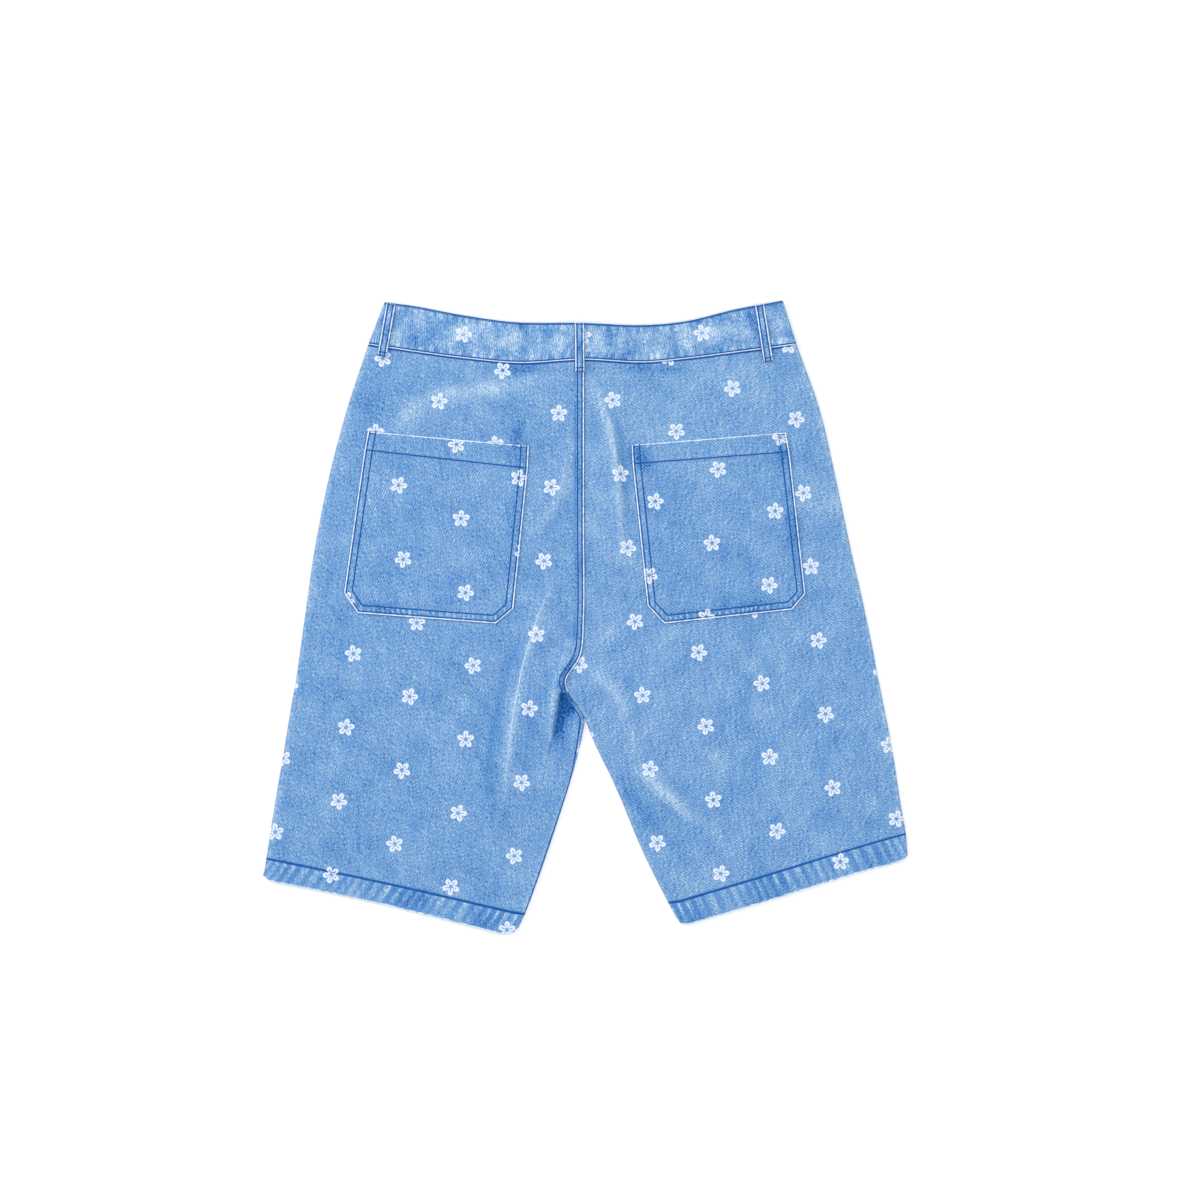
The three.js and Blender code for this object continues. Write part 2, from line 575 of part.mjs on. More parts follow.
// A belt loop: a narrow folded strip, sewn down at both ends over the waistband and standing
// off it between them. Front loops lie under the band and are pressed against it.
function beltLoop({ topX, topY, lowX, lowY }, surface, standOff, upwards) {
  const [top, low] = [new THREE.Vector3(topX, topY, 0), new THREE.Vector3(lowX, lowY, 0)];
  const along = top.clone().sub(low).normalize();
  const sideways = new THREE.Vector3(along.y, -along.x, 0);
  const outer = [];
  const inner = [];
  for (let k = 0; k <= LOOP_CUTS; k++) {
    const share = k / LOOP_CUTS;
    const middle = low.clone().lerp(top, share);
    const height = surface(middle.x, middle.y) + upwards * standOff * Math.sin(Math.PI * share) ** 0.5;
    const [outerRow, innerRow] = [[], []];
    for (const edge of [-1, 0, 1]) {
      const plan = middle.clone().addScaledVector(sideways, (edge * LOOP_WIDTH) / 2);
      outerRow.push(point(plan, height + upwards * LOOP_DENIM));
      innerRow.push(point(plan, height));
    }
    outer.push(outerRow);
    inner.push(innerRow);
  }
  return wall(outer, inner);
}

// The waist button: a low metal cap under the left end of the band
function waistButton() {
  const profile = [
    new THREE.Vector2(0, 0),
    new THREE.Vector2(BUTTON_RADIUS - 1.2, 0),
    new THREE.Vector2(BUTTON_RADIUS, 0.7),
    new THREE.Vector2(BUTTON_RADIUS, BUTTON_THICKNESS - 0.9),
    new THREE.Vector2(BUTTON_RADIUS - 1.5, BUTTON_THICKNESS),
    new THREE.Vector2(0, BUTTON_THICKNESS),
  ];
  return new THREE.LatheGeometry(profile, 24).rotateX(Math.PI / 2);
}

const shorts = new THREE.Group();
shorts.name = "denim_shorts";

function sew(name, geometry, material, group) {
  const mesh = new THREE.Mesh(geometry, material);
  mesh.name = name;
  group.add(mesh);
  return mesh;
}

const legs = new THREE.Group();
sew("back_left", backPanel(LEFT_ROWS, LEFT_HEM, FELLED_SEAM_RAISE), denim(), legs);
sew("back_right", backPanel(RIGHT_ROWS, RIGHT_HEM, 0), denim(), legs);
sew("front_left", frontPanel(LEFT_ROWS, LEFT_HEM, -1), denim(), legs);
sew("front_right", frontPanel(RIGHT_ROWS, RIGHT_HEM, 1), denim(), legs);
shorts.add(legs);

const waist = new THREE.Group();
sew("waistband", waistband(), denim(), waist);
for (const loop of BACK_LOOPS) {
  const surface = (x, y) => {
    const offBand = smoothstep(edgeAt(BACK_WAIST_SEAM, x) - y, -1, 5);
    return bandHeight(x) - loop.step * offBand + LAID_ON_GAP;
  };
  sew(loop.name, beltLoop(loop, surface, LOOP_STAND_OFF, 1), denim(), waist);
}
for (const loop of FRONT_LOOPS) {
  const surface = () => BAND_FLOOR - SEAM_GAP;
  sew(loop.name, beltLoop(loop, surface, 0, -1), denim(), waist);
}
const button = sew("waist_button", waistButton(), metal(), waist);
button.position.set(BUTTON_X, BUTTON_Y, BUTTON_FLOOR);
shorts.add(waist);

const pockets = new THREE.Group();
sew("pocket_left", pocket(LEFT_ROWS, LEFT_POCKET), denim(), pockets);
sew("pocket_right", pocket(RIGHT_ROWS, RIGHT_POCKET), denim(), pockets);
shorts.add(pockets);

export default shorts;
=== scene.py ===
import math
from collections import namedtuple

import bmesh
import bpy
import numpy as np
from mathutils import Matrix, Vector


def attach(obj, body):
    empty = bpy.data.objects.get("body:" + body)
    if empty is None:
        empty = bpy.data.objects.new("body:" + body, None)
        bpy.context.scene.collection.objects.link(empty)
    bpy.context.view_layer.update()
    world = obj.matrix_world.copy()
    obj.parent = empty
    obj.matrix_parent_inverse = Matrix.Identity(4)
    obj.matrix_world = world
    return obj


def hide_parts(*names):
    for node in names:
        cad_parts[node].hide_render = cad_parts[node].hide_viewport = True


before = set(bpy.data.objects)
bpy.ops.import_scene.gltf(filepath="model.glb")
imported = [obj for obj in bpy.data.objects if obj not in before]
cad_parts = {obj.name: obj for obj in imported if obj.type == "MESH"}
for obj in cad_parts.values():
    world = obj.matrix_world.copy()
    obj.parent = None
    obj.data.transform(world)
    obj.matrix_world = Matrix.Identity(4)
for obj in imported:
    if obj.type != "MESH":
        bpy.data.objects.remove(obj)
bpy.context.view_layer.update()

# Back panels
# Each leg's back is one piece of washed mid-blue twill, from the waist seam to a hem that is
# turned up inside. It lies with its sides curled under, and the left one carries the flat-felled
# seat seam. Sizes here are in millimetres, as they are cut.
MM = 0.001
TWILL = 1.0
ROLL = 2.4
ROLL_LENGTH = math.pi * ROLL
SEAT_HEIGHT = 4.3
LEAST_HEIGHT = 2.7
SWELL = 0.35
EDGE_FADE = 20
HEM_RAISE = 0.5
FELLED_RAISE = 1.0
BAND_TOP = 6.7
BAND_STEP = 0.8
CLOSURE_BULGE = 4.4
CLOSURE_BULGE_WIDTH = 48

LegRow = namedtuple("LegRow", "outer inner curl")
LEFT_LEG = [
    LegRow((-322, -260), (-71, -317.5), 1),
    LegRow((-318.7, -240), (-60.5, -296.5), 1),
    LegRow((-310, -184), (-37.5, -232), 1),
    LegRow((-302.5, -140), (-13.8, -158), 1),
    LegRow((-294, -88), (-3, -116), 1),
    LegRow((-289, -60), (-1.5, -98.8), 1),
    LegRow((-285, -33), (-16.8, -73.5), 0.35),
    LegRow((-281, -3), (-19, -62), 0),
    LegRow((-277, 25), (-4.5, -37), 0),
    LegRow((-272, 60), (-1, 0), 0),
    LegRow((-258.5, 131), (-1, 90), 0),
    LegRow((-239, 207), (-1, 175), 0),
    LegRow((-217, 273), (-1, 257), 0),
]
RIGHT_LEG = [
    LegRow((322, -240), (95, -307), 1),
    LegRow((320, -215), (83, -286), 1),
    LegRow((314, -180), (57, -232), 1),
    LegRow((306, -128), (29, -165.5), 1),
    LegRow((297.5, -85), (6.5, -119), 1),
    LegRow((292, -57), (-0.6, -98.8), 1),
    LegRow((287, -31), (-15.9, -73.5), 0.35),
    LegRow((281, -2), (-18.7, -62), 0),
    LegRow((275, 26), (-4.2, -37), 0),
    LegRow((267, 60), (-0.7, 0), 0),
    LegRow((251.5, 133), (-0.7, 90), 0),
    LegRow((234, 209), (-0.7, 175), 0),
    LegRow((211, 273), (-0.7, 257), 0),
]
CROTCH_ROW = 6
LEFT_HEM = [(-322, -260), (-245, -275.5), (-170, -292.5), (-71, -317.5)]
RIGHT_HEM = [(95, -307), (175, -283.5), (265, -255.5), (322, -240)]
BACK_WAIST_SEAM = [
    (-217, 273), (-165, 265), (-118, 259), (-65, 254.5), (-1, 257.5),
    (56, 255), (102, 259), (157, 266), (211, 273),
]

# Folds that the cloth has taken: a line down the shorts from the first point to the last, bent
# towards the middle one, the height over the cloth beside it, and how far that falls away to the
# left and to the right
Fold = namedtuple("Fold", "x0 y0 x1 y1 x2 y2 height left right")
FOLDS = [
    Fold(-30, 246, -122, 232, -182, 188, 3.2, 13, 15),
    Fold(8, 244, 34, 178, 34, 56, 5.2, 10, 8),
    Fold(-14, 196, -20, 126, -46, 92, 2.4, 13, 8),
    Fold(-33, 34, -76, -76, -88, -206, 3.4, 12, 20),
    Fold(2, -44, 30, -66, 40, -130, 3.0, 13, 15),
    Fold(44, -148, 80, -170, 106, -204, 3.4, 10, 12),
    Fold(-228, -70, -190, -110, -170, -190, 1.4, 40, 40),
    Fold(220, -60, 200, -120, 170, -190, 1.4, 40, 40),
]
# Sharper creases along the folds' tops and beside the seams and pockets
CREASES = [
    Fold(-60, 250, -105, 226, -150, 222, 0.5, 5, 7),
    Fold(-140, 226, -172, 214, -180, 196, 0.5, 6, 8),
    Fold(10, 240, 34, 180, 34, 96, 0.4, 4, 4),
    Fold(-13, 150, -18, 112, -50, 86, 0.5, 6, 5),
    Fold(-28, 30, -42, 24, -47, 2, 0.5, 3, 4),
    Fold(-40, 20, -68, -56, -84, -196, 0.5, 2.6, 3),
    Fold(14, -96, 38, -108, 40, -136, 0.4, 4, 5),
    Fold(46, -148, 64, -160, 110, -204, 0.5, 5, 6),
    Fold(36, -170, 62, -196, 92, -222, -0.5, 7, 7),
    Fold(186, 254, 212, 240, 206, 214, 0.6, 5, 5),
    Fold(150, 240, 172, 226, 200, 212, 0.5, 6, 6),
    Fold(80, 236, 110, 226, 150, 206, -0.4, 8, 8),
    Fold(-120, -18, -150, -30, -190, -34, 0.4, 6, 9),
    Fold(30, -2, 90, -16, 150, -24, 0.3, 6, 8),
    Fold(-236, 40, -258, 20, -272, -20, 0.4, 7, 8),
    Fold(236, 30, 252, 8, 262, -30, 0.4, 7, 8),
    Fold(-66, 246, -78, 240, -92, 240, -0.7, 7, 5),
    Fold(36, 250, 48, 244, 66, 248, -0.7, 6, 6),
]
# Paler and deeper blue along the folds and beside the seams: partly the wash, partly a painted
# highlight on the folds' crests and painted shade in their troughs, under the waistband and beside
# the belt loops. Here the height is the strength, under 0 where the blue is deeper.
WASH_AND_SHADE_MARKS = [
    Fold(-92, 250, -66, 246, -42, 252, -1.0, 6, 6),
    Fold(34, 252, 54, 249, 104, 250, -0.8, 5, 5),
    Fold(-203, 276, -198, 268, -192, 262, -0.7, 7, 7),
    Fold(176, 276, 182, 268, 188, 258, -0.8, 7, 7),
    Fold(160, 308, 168, 300, 166, 286, -0.6, 7, 7),
    Fold(-75, 290, -55, 286, -30, 289, -0.7, 6, 6),
    Fold(22, 287, 43, 284, 70, 289, -0.6, 6, 6),
    Fold(-52, 240, -105, 224, -150, 226, 0.9, 7, 9),
    Fold(-140, 227, -176, 216, -192, 184, 0.7, 7, 9),
    Fold(4, 244, 30, 190, 32, 138, 0.7, 7, 4),
    Fold(30, 150, 38, 98, 37, 60, 0.4, 6, 4),
    Fold(-14, 178, -16, 118, -52, 92, 0.5, 7, 5),
    Fold(-4, 156, -4, 136, -4, 116, -0.7, 6, 5),
    Fold(-5, 66, -6, 50, -8, 34, -0.6, 6, 5),
    Fold(-34, 30, -60, -30, -82, -150, 0.35, 5, 6),
    Fold(-86, -100, -98, -150, -92, -192, -0.4, 9, 9),
    Fold(0, -52, 38, -66, 44, -112, 0.7, 6, 6),
    Fold(44, -112, 50, -164, 122, -208, 0.7, 5, 7),
    Fold(36, -160, 52, -186, 92, -236, -0.5, 8, 8),
    Fold(-76, 196, -64, 180, -70, 150, -0.8, 9, 8),
    Fold(-74, 112, -72, 94, -74, 76, -0.5, 7, 7),
    Fold(-224, 16, -204, 8, -176, 8, -0.6, 7, 7),
    Fold(46, 170, 54, 156, 66, 150, -1.1, 9, 9),
    Fold(190, 176, 198, 164, 200, 150, -0.9, 7, 7),
    Fold(208, 104, 214, 70, 214, 30, -0.5, 7, 7),
    Fold(80, 2, 140, 8, 206, 12, -0.4, 7, 7),
    Fold(-212, 250, -204, 220, -216, 170, -0.4, 14, 14),
    Fold(-150, 300, -110, 284, -60, 270, 0.4, 8, 8),
    Fold(90, 270, 130, 280, 150, 290, 0.4, 9, 9),
]
# The same for the recess under the left leg's pleat, which the right leg hasn't: painted shadow in
# the hollow, partly the deeper blue that the wash missed there, and a painted highlight along the
# pleat's lip
RECESS_SHADE_MARKS = [
    Fold(-25, -76, -24, -92, -31, -120, -2.6, 1.5, 9),
    Fold(-17, -76, -12, -84, -13, -100, -1.1, 7, 4),
    Fold(-27, -75.6, -21, -75.2, -15, -76, -1.0, 1.4, 1.6),
    Fold(-20, -36, -32, -62, -38, -118, 0.7, 6, 2),
    Fold(-14.5, -42, -24, -56, -27.5, -72, -1.1, 1.6, 1.6),
]
# The sharpest crease on each leg, worn to a thin pale line
SHARP_CREASES = {
    "left": Fold(-34, 34, -74, -46, -81, -186, 0.9, 2, 2),
    "right": Fold(46, -140, 54, -170, 112, -205, 0.5, 2, 2),
}
PLEAT = Fold(-13, -34, -29, -64, -36, -122, 5.4, 15, 2.6)
HOLLOW = {"x": -19, "y": -94, "across": 8, "along": 26, "depth": 1.6}
SEAM_END = {"y": -74, "left": -28, "right": -13, "rise": 1.3}


def bell(x):
    return np.exp(-x * x)


def ease(x, low, high):
    share = np.clip((x - low) / (high - low), 0, 1)
    return share * share * (3 - 2 * share)


def curve_y(points, x):
    """Height at x of a smooth curve through (x, y) points."""
    xs, ys = np.array(points, float).T
    number = np.arange(len(xs))
    before, after = np.maximum(number - 1, 0), np.minimum(number + 1, number[-1])
    slopes = (ys[after] - ys[before]) / (xs[after] - xs[before])
    i = np.clip(np.searchsorted(xs, x) - 1, 0, len(xs) - 2)
    span = xs[i + 1] - xs[i]
    t = np.clip((x - xs[i]) / span, 0, 1)
    rise = (2 * t**3 - 3 * t**2 + 1) * ys[i] + (3 * t**2 - 2 * t**3) * ys[i + 1]
    return rise + span * ((t**3 - 2 * t**2 + t) * slopes[i] + (t**3 - t**2) * slopes[i + 1])


def through(points, place):
    """Where a smooth line through points is at a place, whole numbers being the points."""
    points = [np.array(p, float) for p in points]
    last = len(points) - 1
    i = int(np.clip(math.floor(place), 0, last - 1))
    a, b = points[i], points[i + 1]
    before = points[i - 1] if i > 0 else 2 * a - b
    after = points[i + 2] if i + 2 <= last else 2 * b - a
    gaps = [np.linalg.norm(q - p) ** 0.5 for p, q in ((before, a), (a, b), (b, after))]
    start = (a - before) / gaps[0] - (b - before) / (gaps[0] + gaps[1]) + (b - a) / gaps[1]
    end = (b - a) / gaps[1] - (after - a) / (gaps[1] + gaps[2]) + (after - b) / gaps[2]
    start, end = start * gaps[1], end * gaps[1]
    t = place - i
    bend = (3 * (b - a) - 2 * start - end) * t**2
    return a + start * t + bend + (2 * (a - b) + start + end) * t**3


def from_stretch(start, end, x, y):
    """How far (x, y) is from a straight line, how far along that is, and on which side."""
    run = np.subtract(end, start)
    dx, dy = x - start[0], y - start[1]
    share = np.clip((dx * run[0] + dy * run[1]) / (run @ run), 0, 1)
    distance = np.hypot(dx - share * run[0], dy - share * run[1])
    return distance, share, np.sign(run[0] * dy - run[1] * dx)


def beside(fold, x, y):
    """How far (x, y) lies to the right of a fold's line, as it runs down, and how far along."""
    start, by, end = np.reshape(fold[:6], (3, 2)).astype(float)
    nearest = np.full(np.shape(x), np.inf)
    offset, along = np.zeros(np.shape(x)), np.zeros(np.shape(x))
    stretches, previous = 12, start
    for k in range(1, stretches + 1):
        t = k / stretches
        reached = (1 - t) ** 2 * start + 2 * t * (1 - t) * by + t * t * end
        distance, share, hand = from_stretch(previous, reached, x, y)
        nearer = distance < nearest
        nearest = np.where(nearer, distance, nearest)
        offset = np.where(nearer, hand * distance, offset)
        along = np.where(nearer, (k - 1 + share) / stretches, along)
        previous = reached
    return offset, along


def fold_height(fold, x, y):
    offset, along = beside(fold, x, y)
    fade = np.sin(math.pi * (along * 0.9 + 0.05)) ** 0.7
    return fold.height * fade * bell(offset / np.where(offset < 0, fold.left, fold.right))


def crease_marks(side, x, y):
    """The signed distance from a leg's sharpest crease, and how strong the crease is there."""
    crease = SHARP_CREASES[side]
    offset, along = beside(crease, x, y)
    strength = crease.height * np.sin(math.pi * np.clip(along * 0.96 + 0.02, 0, 1)) ** 0.6
    return np.clip(offset, -30, 30), strength * (abs(offset) < 12)


def wash_and_shade_marks(x, y, more=[]):
    marks = sum(fold_height(mark, x, y) for mark in WASH_AND_SHADE_MARKS + more)
    # Painted light: the cloth is made a little paler towards the waist
    return np.clip(marks + 0.09 * ease(y, -60, 150), -1.6, 1.2)


def band_height(x):
    return BAND_TOP + CLOSURE_BULGE * bell(x / CLOSURE_BULGE_WIDTH)


def side_x(rows, side, y):
    return curve_y([getattr(row, side)[::-1] for row in rows], y)


def back_height(rows, x, y):
    """Height of the back's outer face over the surface that the shorts lie on."""
    height = SEAT_HEIGHT + SWELL * (np.sin(x / 31 + y / 47) + np.sin(y / 26 - x / 58))
    for fold in FOLDS + CREASES:
        height += fold_height(fold, x, y)
    if rows is LEFT_LEG:
        height += fold_height(PLEAT, x, y)
        across = bell((x - HOLLOW["x"]) / HOLLOW["across"])
        height -= HOLLOW["depth"] * across * bell((y - HOLLOW["y"]) / HOLLOW["along"])
        foot, left = SEAM_END["y"], SEAM_END["left"]
        stands = ease(y, foot - 0.9, foot + 0.3) * (1 - ease(y, foot, foot + 22))
        stands = stands * ease(x, left, left + 4) * (x < SEAM_END["right"])
        height += SEAM_END["rise"] * stands
    height = np.maximum(height, LEAST_HEIGHT)
    to_waist = ease(y, 178, 226)
    under_band = band_height(x) - BAND_STEP
    height += (under_band - height) * to_waist
    puckers = 0.16 * np.sin(x / 1.9 + 1.5 * np.sin(x / 8)) * ease(y, 225, 250)
    edge = 2 * ROLL + (under_band - 2 * ROLL) * to_waist
    outer_hold = 1 - ease(abs(x - side_x(rows, "outer", y)) - ROLL, 0, EDGE_FADE)
    height = height + puckers + (edge - height) * outer_hold
    from_inner = abs(x - side_x(rows[: CROTCH_ROW + 1], "inner", y)) - ROLL
    inner_hold = 1 - ease(from_inner, 0, EDGE_FADE / 3)
    return height + (2 * ROLL - height) * inner_hold * (1 - ease(y, -92, -64))


def bent(rows, hem, waist_seam, place, x, y):
    """A straight row's heights, bent to the hem's or the waist seam's curve where it is near."""
    last = len(rows) - 1

    def off(row, curve):
        (x0, y0), (x1, y1) = row.outer, row.inner
        return curve_y(curve, x) - (y0 + (y1 - y0) * (x - x0) / (x1 - x0))

    near_hem = 1 - ease(place, 0, 2)
    near_waist = ease(place, last - 2, last)
    return y + near_hem * off(rows[0], hem) + near_waist * off(rows[-1], waist_seam)


def roping(along, slope):
    """The uneven ridges that a turned and sewn edge pulls up, from -1 to 1."""
    phase = along / 1.45 + slope + 1.7 * np.sin(along / 11) + 1.2 * np.sin(along / 23 + 1)
    return 0.7 * np.sin(phase) + 0.3 * np.sin(2.3 * phase + 1)


Cloth = namedtuple("Cloth", "points flat marks")
NO_ROW = 60.0
# What a mark says where a piece has nothing of its kind: distances in mm are out of reach
# The shade mark carries the wash with painted shade and highlight; relief and rope darken hollows
# as painted shade
PLAIN_MARKS = {
    "edge": NO_ROW, "row": NO_ROW, "fold": NO_ROW, "crease": NO_ROW,
    "strength": 0, "rope": 0, "relief": 0, "shade": 0,
}


def marked(points, flat, **marks):
    """A sheet of cloth from a grid of points, its flat pattern and its marks."""
    whole = np.ones(points.shape[:2])
    return Cloth(points, flat, {k: marks.get(k, plain) * whole for k, plain in PLAIN_MARKS.items()})


def finished(bm, name, material=None):
    """A piece with smooth faces from a bmesh, with its material."""
    for face in bm.faces:
        face.smooth = True
    mesh = bpy.data.meshes.new(name)
    bm.to_mesh(mesh)
    bm.free()
    if material:
        mesh.materials.append(material)
    piece = bpy.data.objects.new(name, mesh)
    bpy.context.collection.objects.link(piece)
    return piece


def cloth_mesh(name, cloth, facing=1, closed=False):
    """A sheet's mesh: its flat pattern is the UV map, and its marks are attributes."""
    rows, columns = cloth.points.shape[:2]
    bm = bmesh.new()
    uv = bm.loops.layers.uv.new("cloth")
    layers = {mark: bm.verts.layers.float.new(mark) for mark in cloth.marks}
    bmesh.ops.create_grid(bm, x_segments=columns - 1, y_segments=rows - 1, size=0.5)
    places = {}
    for vert in bm.verts:
        i, j = round((vert.co.y + 0.5) * (rows - 1)), round((vert.co.x + 0.5) * (columns - 1))
        places[vert.index] = (i, j)
        vert.co = Vector(cloth.points[i, j]) * MM
        for mark, layer in layers.items():
            vert[layer] = float(cloth.marks[mark][i, j])
    for face in bm.faces:
        for loop in face.loops:
            loop[uv].uv = cloth.flat[places[loop.vert.index]] * MM
    if closed:
        bmesh.ops.remove_doubles(bm, verts=bm.verts, dist=0.004 * MM)
        bmesh.ops.recalc_face_normals(bm, faces=bm.faces)
    else:
        bm.normal_update()
        if sum(face.normal.z * face.calc_area() for face in bm.faces) * facing < 0:
            bmesh.ops.reverse_faces(bm, faces=bm.faces)
    return finished(bm, name)


def thicken(piece, thickness):
    wall = piece.modifiers.new("cloth thickness", "SOLIDIFY")
    wall.thickness = thickness * MM
    wall.offset = -1
    wall.use_even_offset = False
    return piece


def relief(height, reach=3):
    """How far each point stands over the cloth round it, from -1 in a trough to 1 on a crest."""
    level = height.astype(float)
    for axis in (0, 1):
        padded = np.pad(level, [(reach * (k == axis),) * 2 for k in (0, 1)], "edge")
        spots = [padded.take(range(k, k + level.shape[axis]), axis) for k in range(2 * reach + 1)]
        level = sum(spots) / (2 * reach + 1)
    return np.clip((height - level) / 0.45, -1, 1)


# A place counts the leg's rows: 0 is the hem's edge and 1 is its row of stitches, HEM_DEPTH up.
# Hems are folded in by HEM_TURN.
# Each one's inner and outer corners are rounded: from x to x, and how far they are lifted.
HEM_TURN = 1.1
HEM_DEPTH = 24
CORNERS = {
    "left": ((-84, -69, 5), (-314, -322, 3)),
    "right": ((104, 96, 2.5), (314, 322, 3)),
}
# How far the inner leg's seam lies from the middle of the curled edge, for each y
INSEAM = [
    (-317, -0.4), (-232, 0.2), (-190, 0.0), (-160, -0.4), (-141, 1.2), (-118, 3.2), (-98, 3.6),
    (-60, 3.6),
]
INSEAM_TOP = -80
INSEAM_ROW = 2.2
LAP_PLACE = 6.0
FELLED_FROM = (5.8, 6.1)
SEAM_ROWS = (2.5, 7.0)
# A back's columns: round its side, far from the inner edge, close to it, and round that edge.
# Its rows are CLOSE_STEP apart near the hem and the crotch, and FAR_STEP apart elsewhere.
SIDE_STEPS, FAR_COLUMNS, CLOSE_COLUMNS, EDGE_STEPS = 7, 84, 38, 10
CLOSE_REACH = 46
CLOSE_STEP, FAR_STEP = 1.6, 2.8


def hem_wash(along):
    """Deeper and paler patches along a hem."""
    return 0.2 * np.sin(along / 6.3 + 1.5 * np.sin(along / 15)) + 0.2 * np.sin(along / 13.7 + 1)


def corner_lift(side, x, place):
    lift = sum(height * ease(x, start, end) for start, end, height in CORNERS[side])
    return lift * (1 - ease(place, 0, 0.5))


def panel_edges(rows, place):
    """A panel's outer and inner points at a place, the way across and how much it is curled."""
    i = int(np.clip(math.floor(place), 0, len(rows) - 2))
    curl = rows[i].curl + (rows[i + 1].curl - rows[i].curl) * (place - i)
    start, end = (through([getattr(row, k) for row in rows], place) for k in ("outer", "inner"))
    return start, end, (end - start) / np.linalg.norm(end - start), curl


def inseam(y):
    return curve_y(INSEAM, y) + ROLL_LENGTH / 2


def back_stations(rows):
    """Places up the leg, each with how far the cloth is turned in there, from inside the hem up."""
    stations = [(0.95 - 0.09 * k, HEM_TURN) for k in range(11)]
    for a in (0.8, 1.57, 2.35):
        stations.append((-0.04 * math.sin(a), HEM_TURN * (1 + math.cos(a)) / 2))
    stations.append((0.0, 0.0))
    for i, (low, high) in enumerate(zip(rows, rows[1:])):
        step = CLOSE_STEP if i in (0, 4, 5, 6) else FAR_STEP
        count = round(max(math.dist(low.inner, high.inner), 24) / step)
        stations += [(i + (k + 1) / count, 0.0) for k in range(count)]
    return stations


def back_lines(rows, left, stations):
    """A back's rows of points: where each is across the leg, and how far it is curled round."""
    lines = []
    for place, depth in stations:
        start, end, across, curl = panel_edges(rows, place)
        reach = (1 - curl) * ROLL_LENGTH + ROLL * math.sin(math.pi * min(curl, 0.5))
        lapped = bell((place - LAP_PLACE) / 0.8)
        reach -= (0.1 * lapped if left else max(1.3 * lapped, 1.4 * ease(place, 6.3, 7)))
        start, inner_start = start + across * ROLL, end - across * reach
        span = np.linalg.norm(inner_start - start)
        along = np.linspace(0, 1, EDGE_STEPS + 1)[1:]
        foot = np.concatenate([
            np.zeros(SIDE_STEPS),
            np.linspace(0, span - CLOSE_REACH, FAR_COLUMNS, endpoint=False),
            np.linspace(span - CLOSE_REACH, span, CLOSE_COLUMNS),
            span + np.minimum(along, 1 - curl) * ROLL_LENGTH,
        ])
        angle = np.concatenate([
            np.linspace(math.pi, 0, SIDE_STEPS, endpoint=False),
            np.zeros(FAR_COLUMNS + CLOSE_COLUMNS),
            math.pi * np.maximum(0, along - (1 - curl)),
        ])
        lines.append(np.broadcast_arrays(foot, angle, place, depth, span, *start, *across))
    return np.array(lines).transpose(1, 0, 2)


def seam_relief(place, from_seam, off_inseam):
    """The felled seat seam's raised face and, below the crotch, the pressed inner leg seam."""
    above = ease(place, *FELLED_FROM)
    raised = FELLED_RAISE * (1 - ease(from_seam, 7.4, 8.6))
    raised = raised + 0.3 * bell((from_seam - 1.0) / 0.8) - 0.4 * bell(from_seam / 0.35)
    for sewn in SEAM_ROWS:
        raised -= 0.3 * bell((from_seam - sewn) / 0.8)
    pull = 0.12 * np.sin(place * 60) * bell((from_seam - 4.5) / 4)
    pressed = 0.45 * bell(off_inseam / 0.8) - 0.3 * bell((off_inseam - INSEAM_ROW) / 0.9)
    return above * (raised + pull) + (1 - above) * pressed


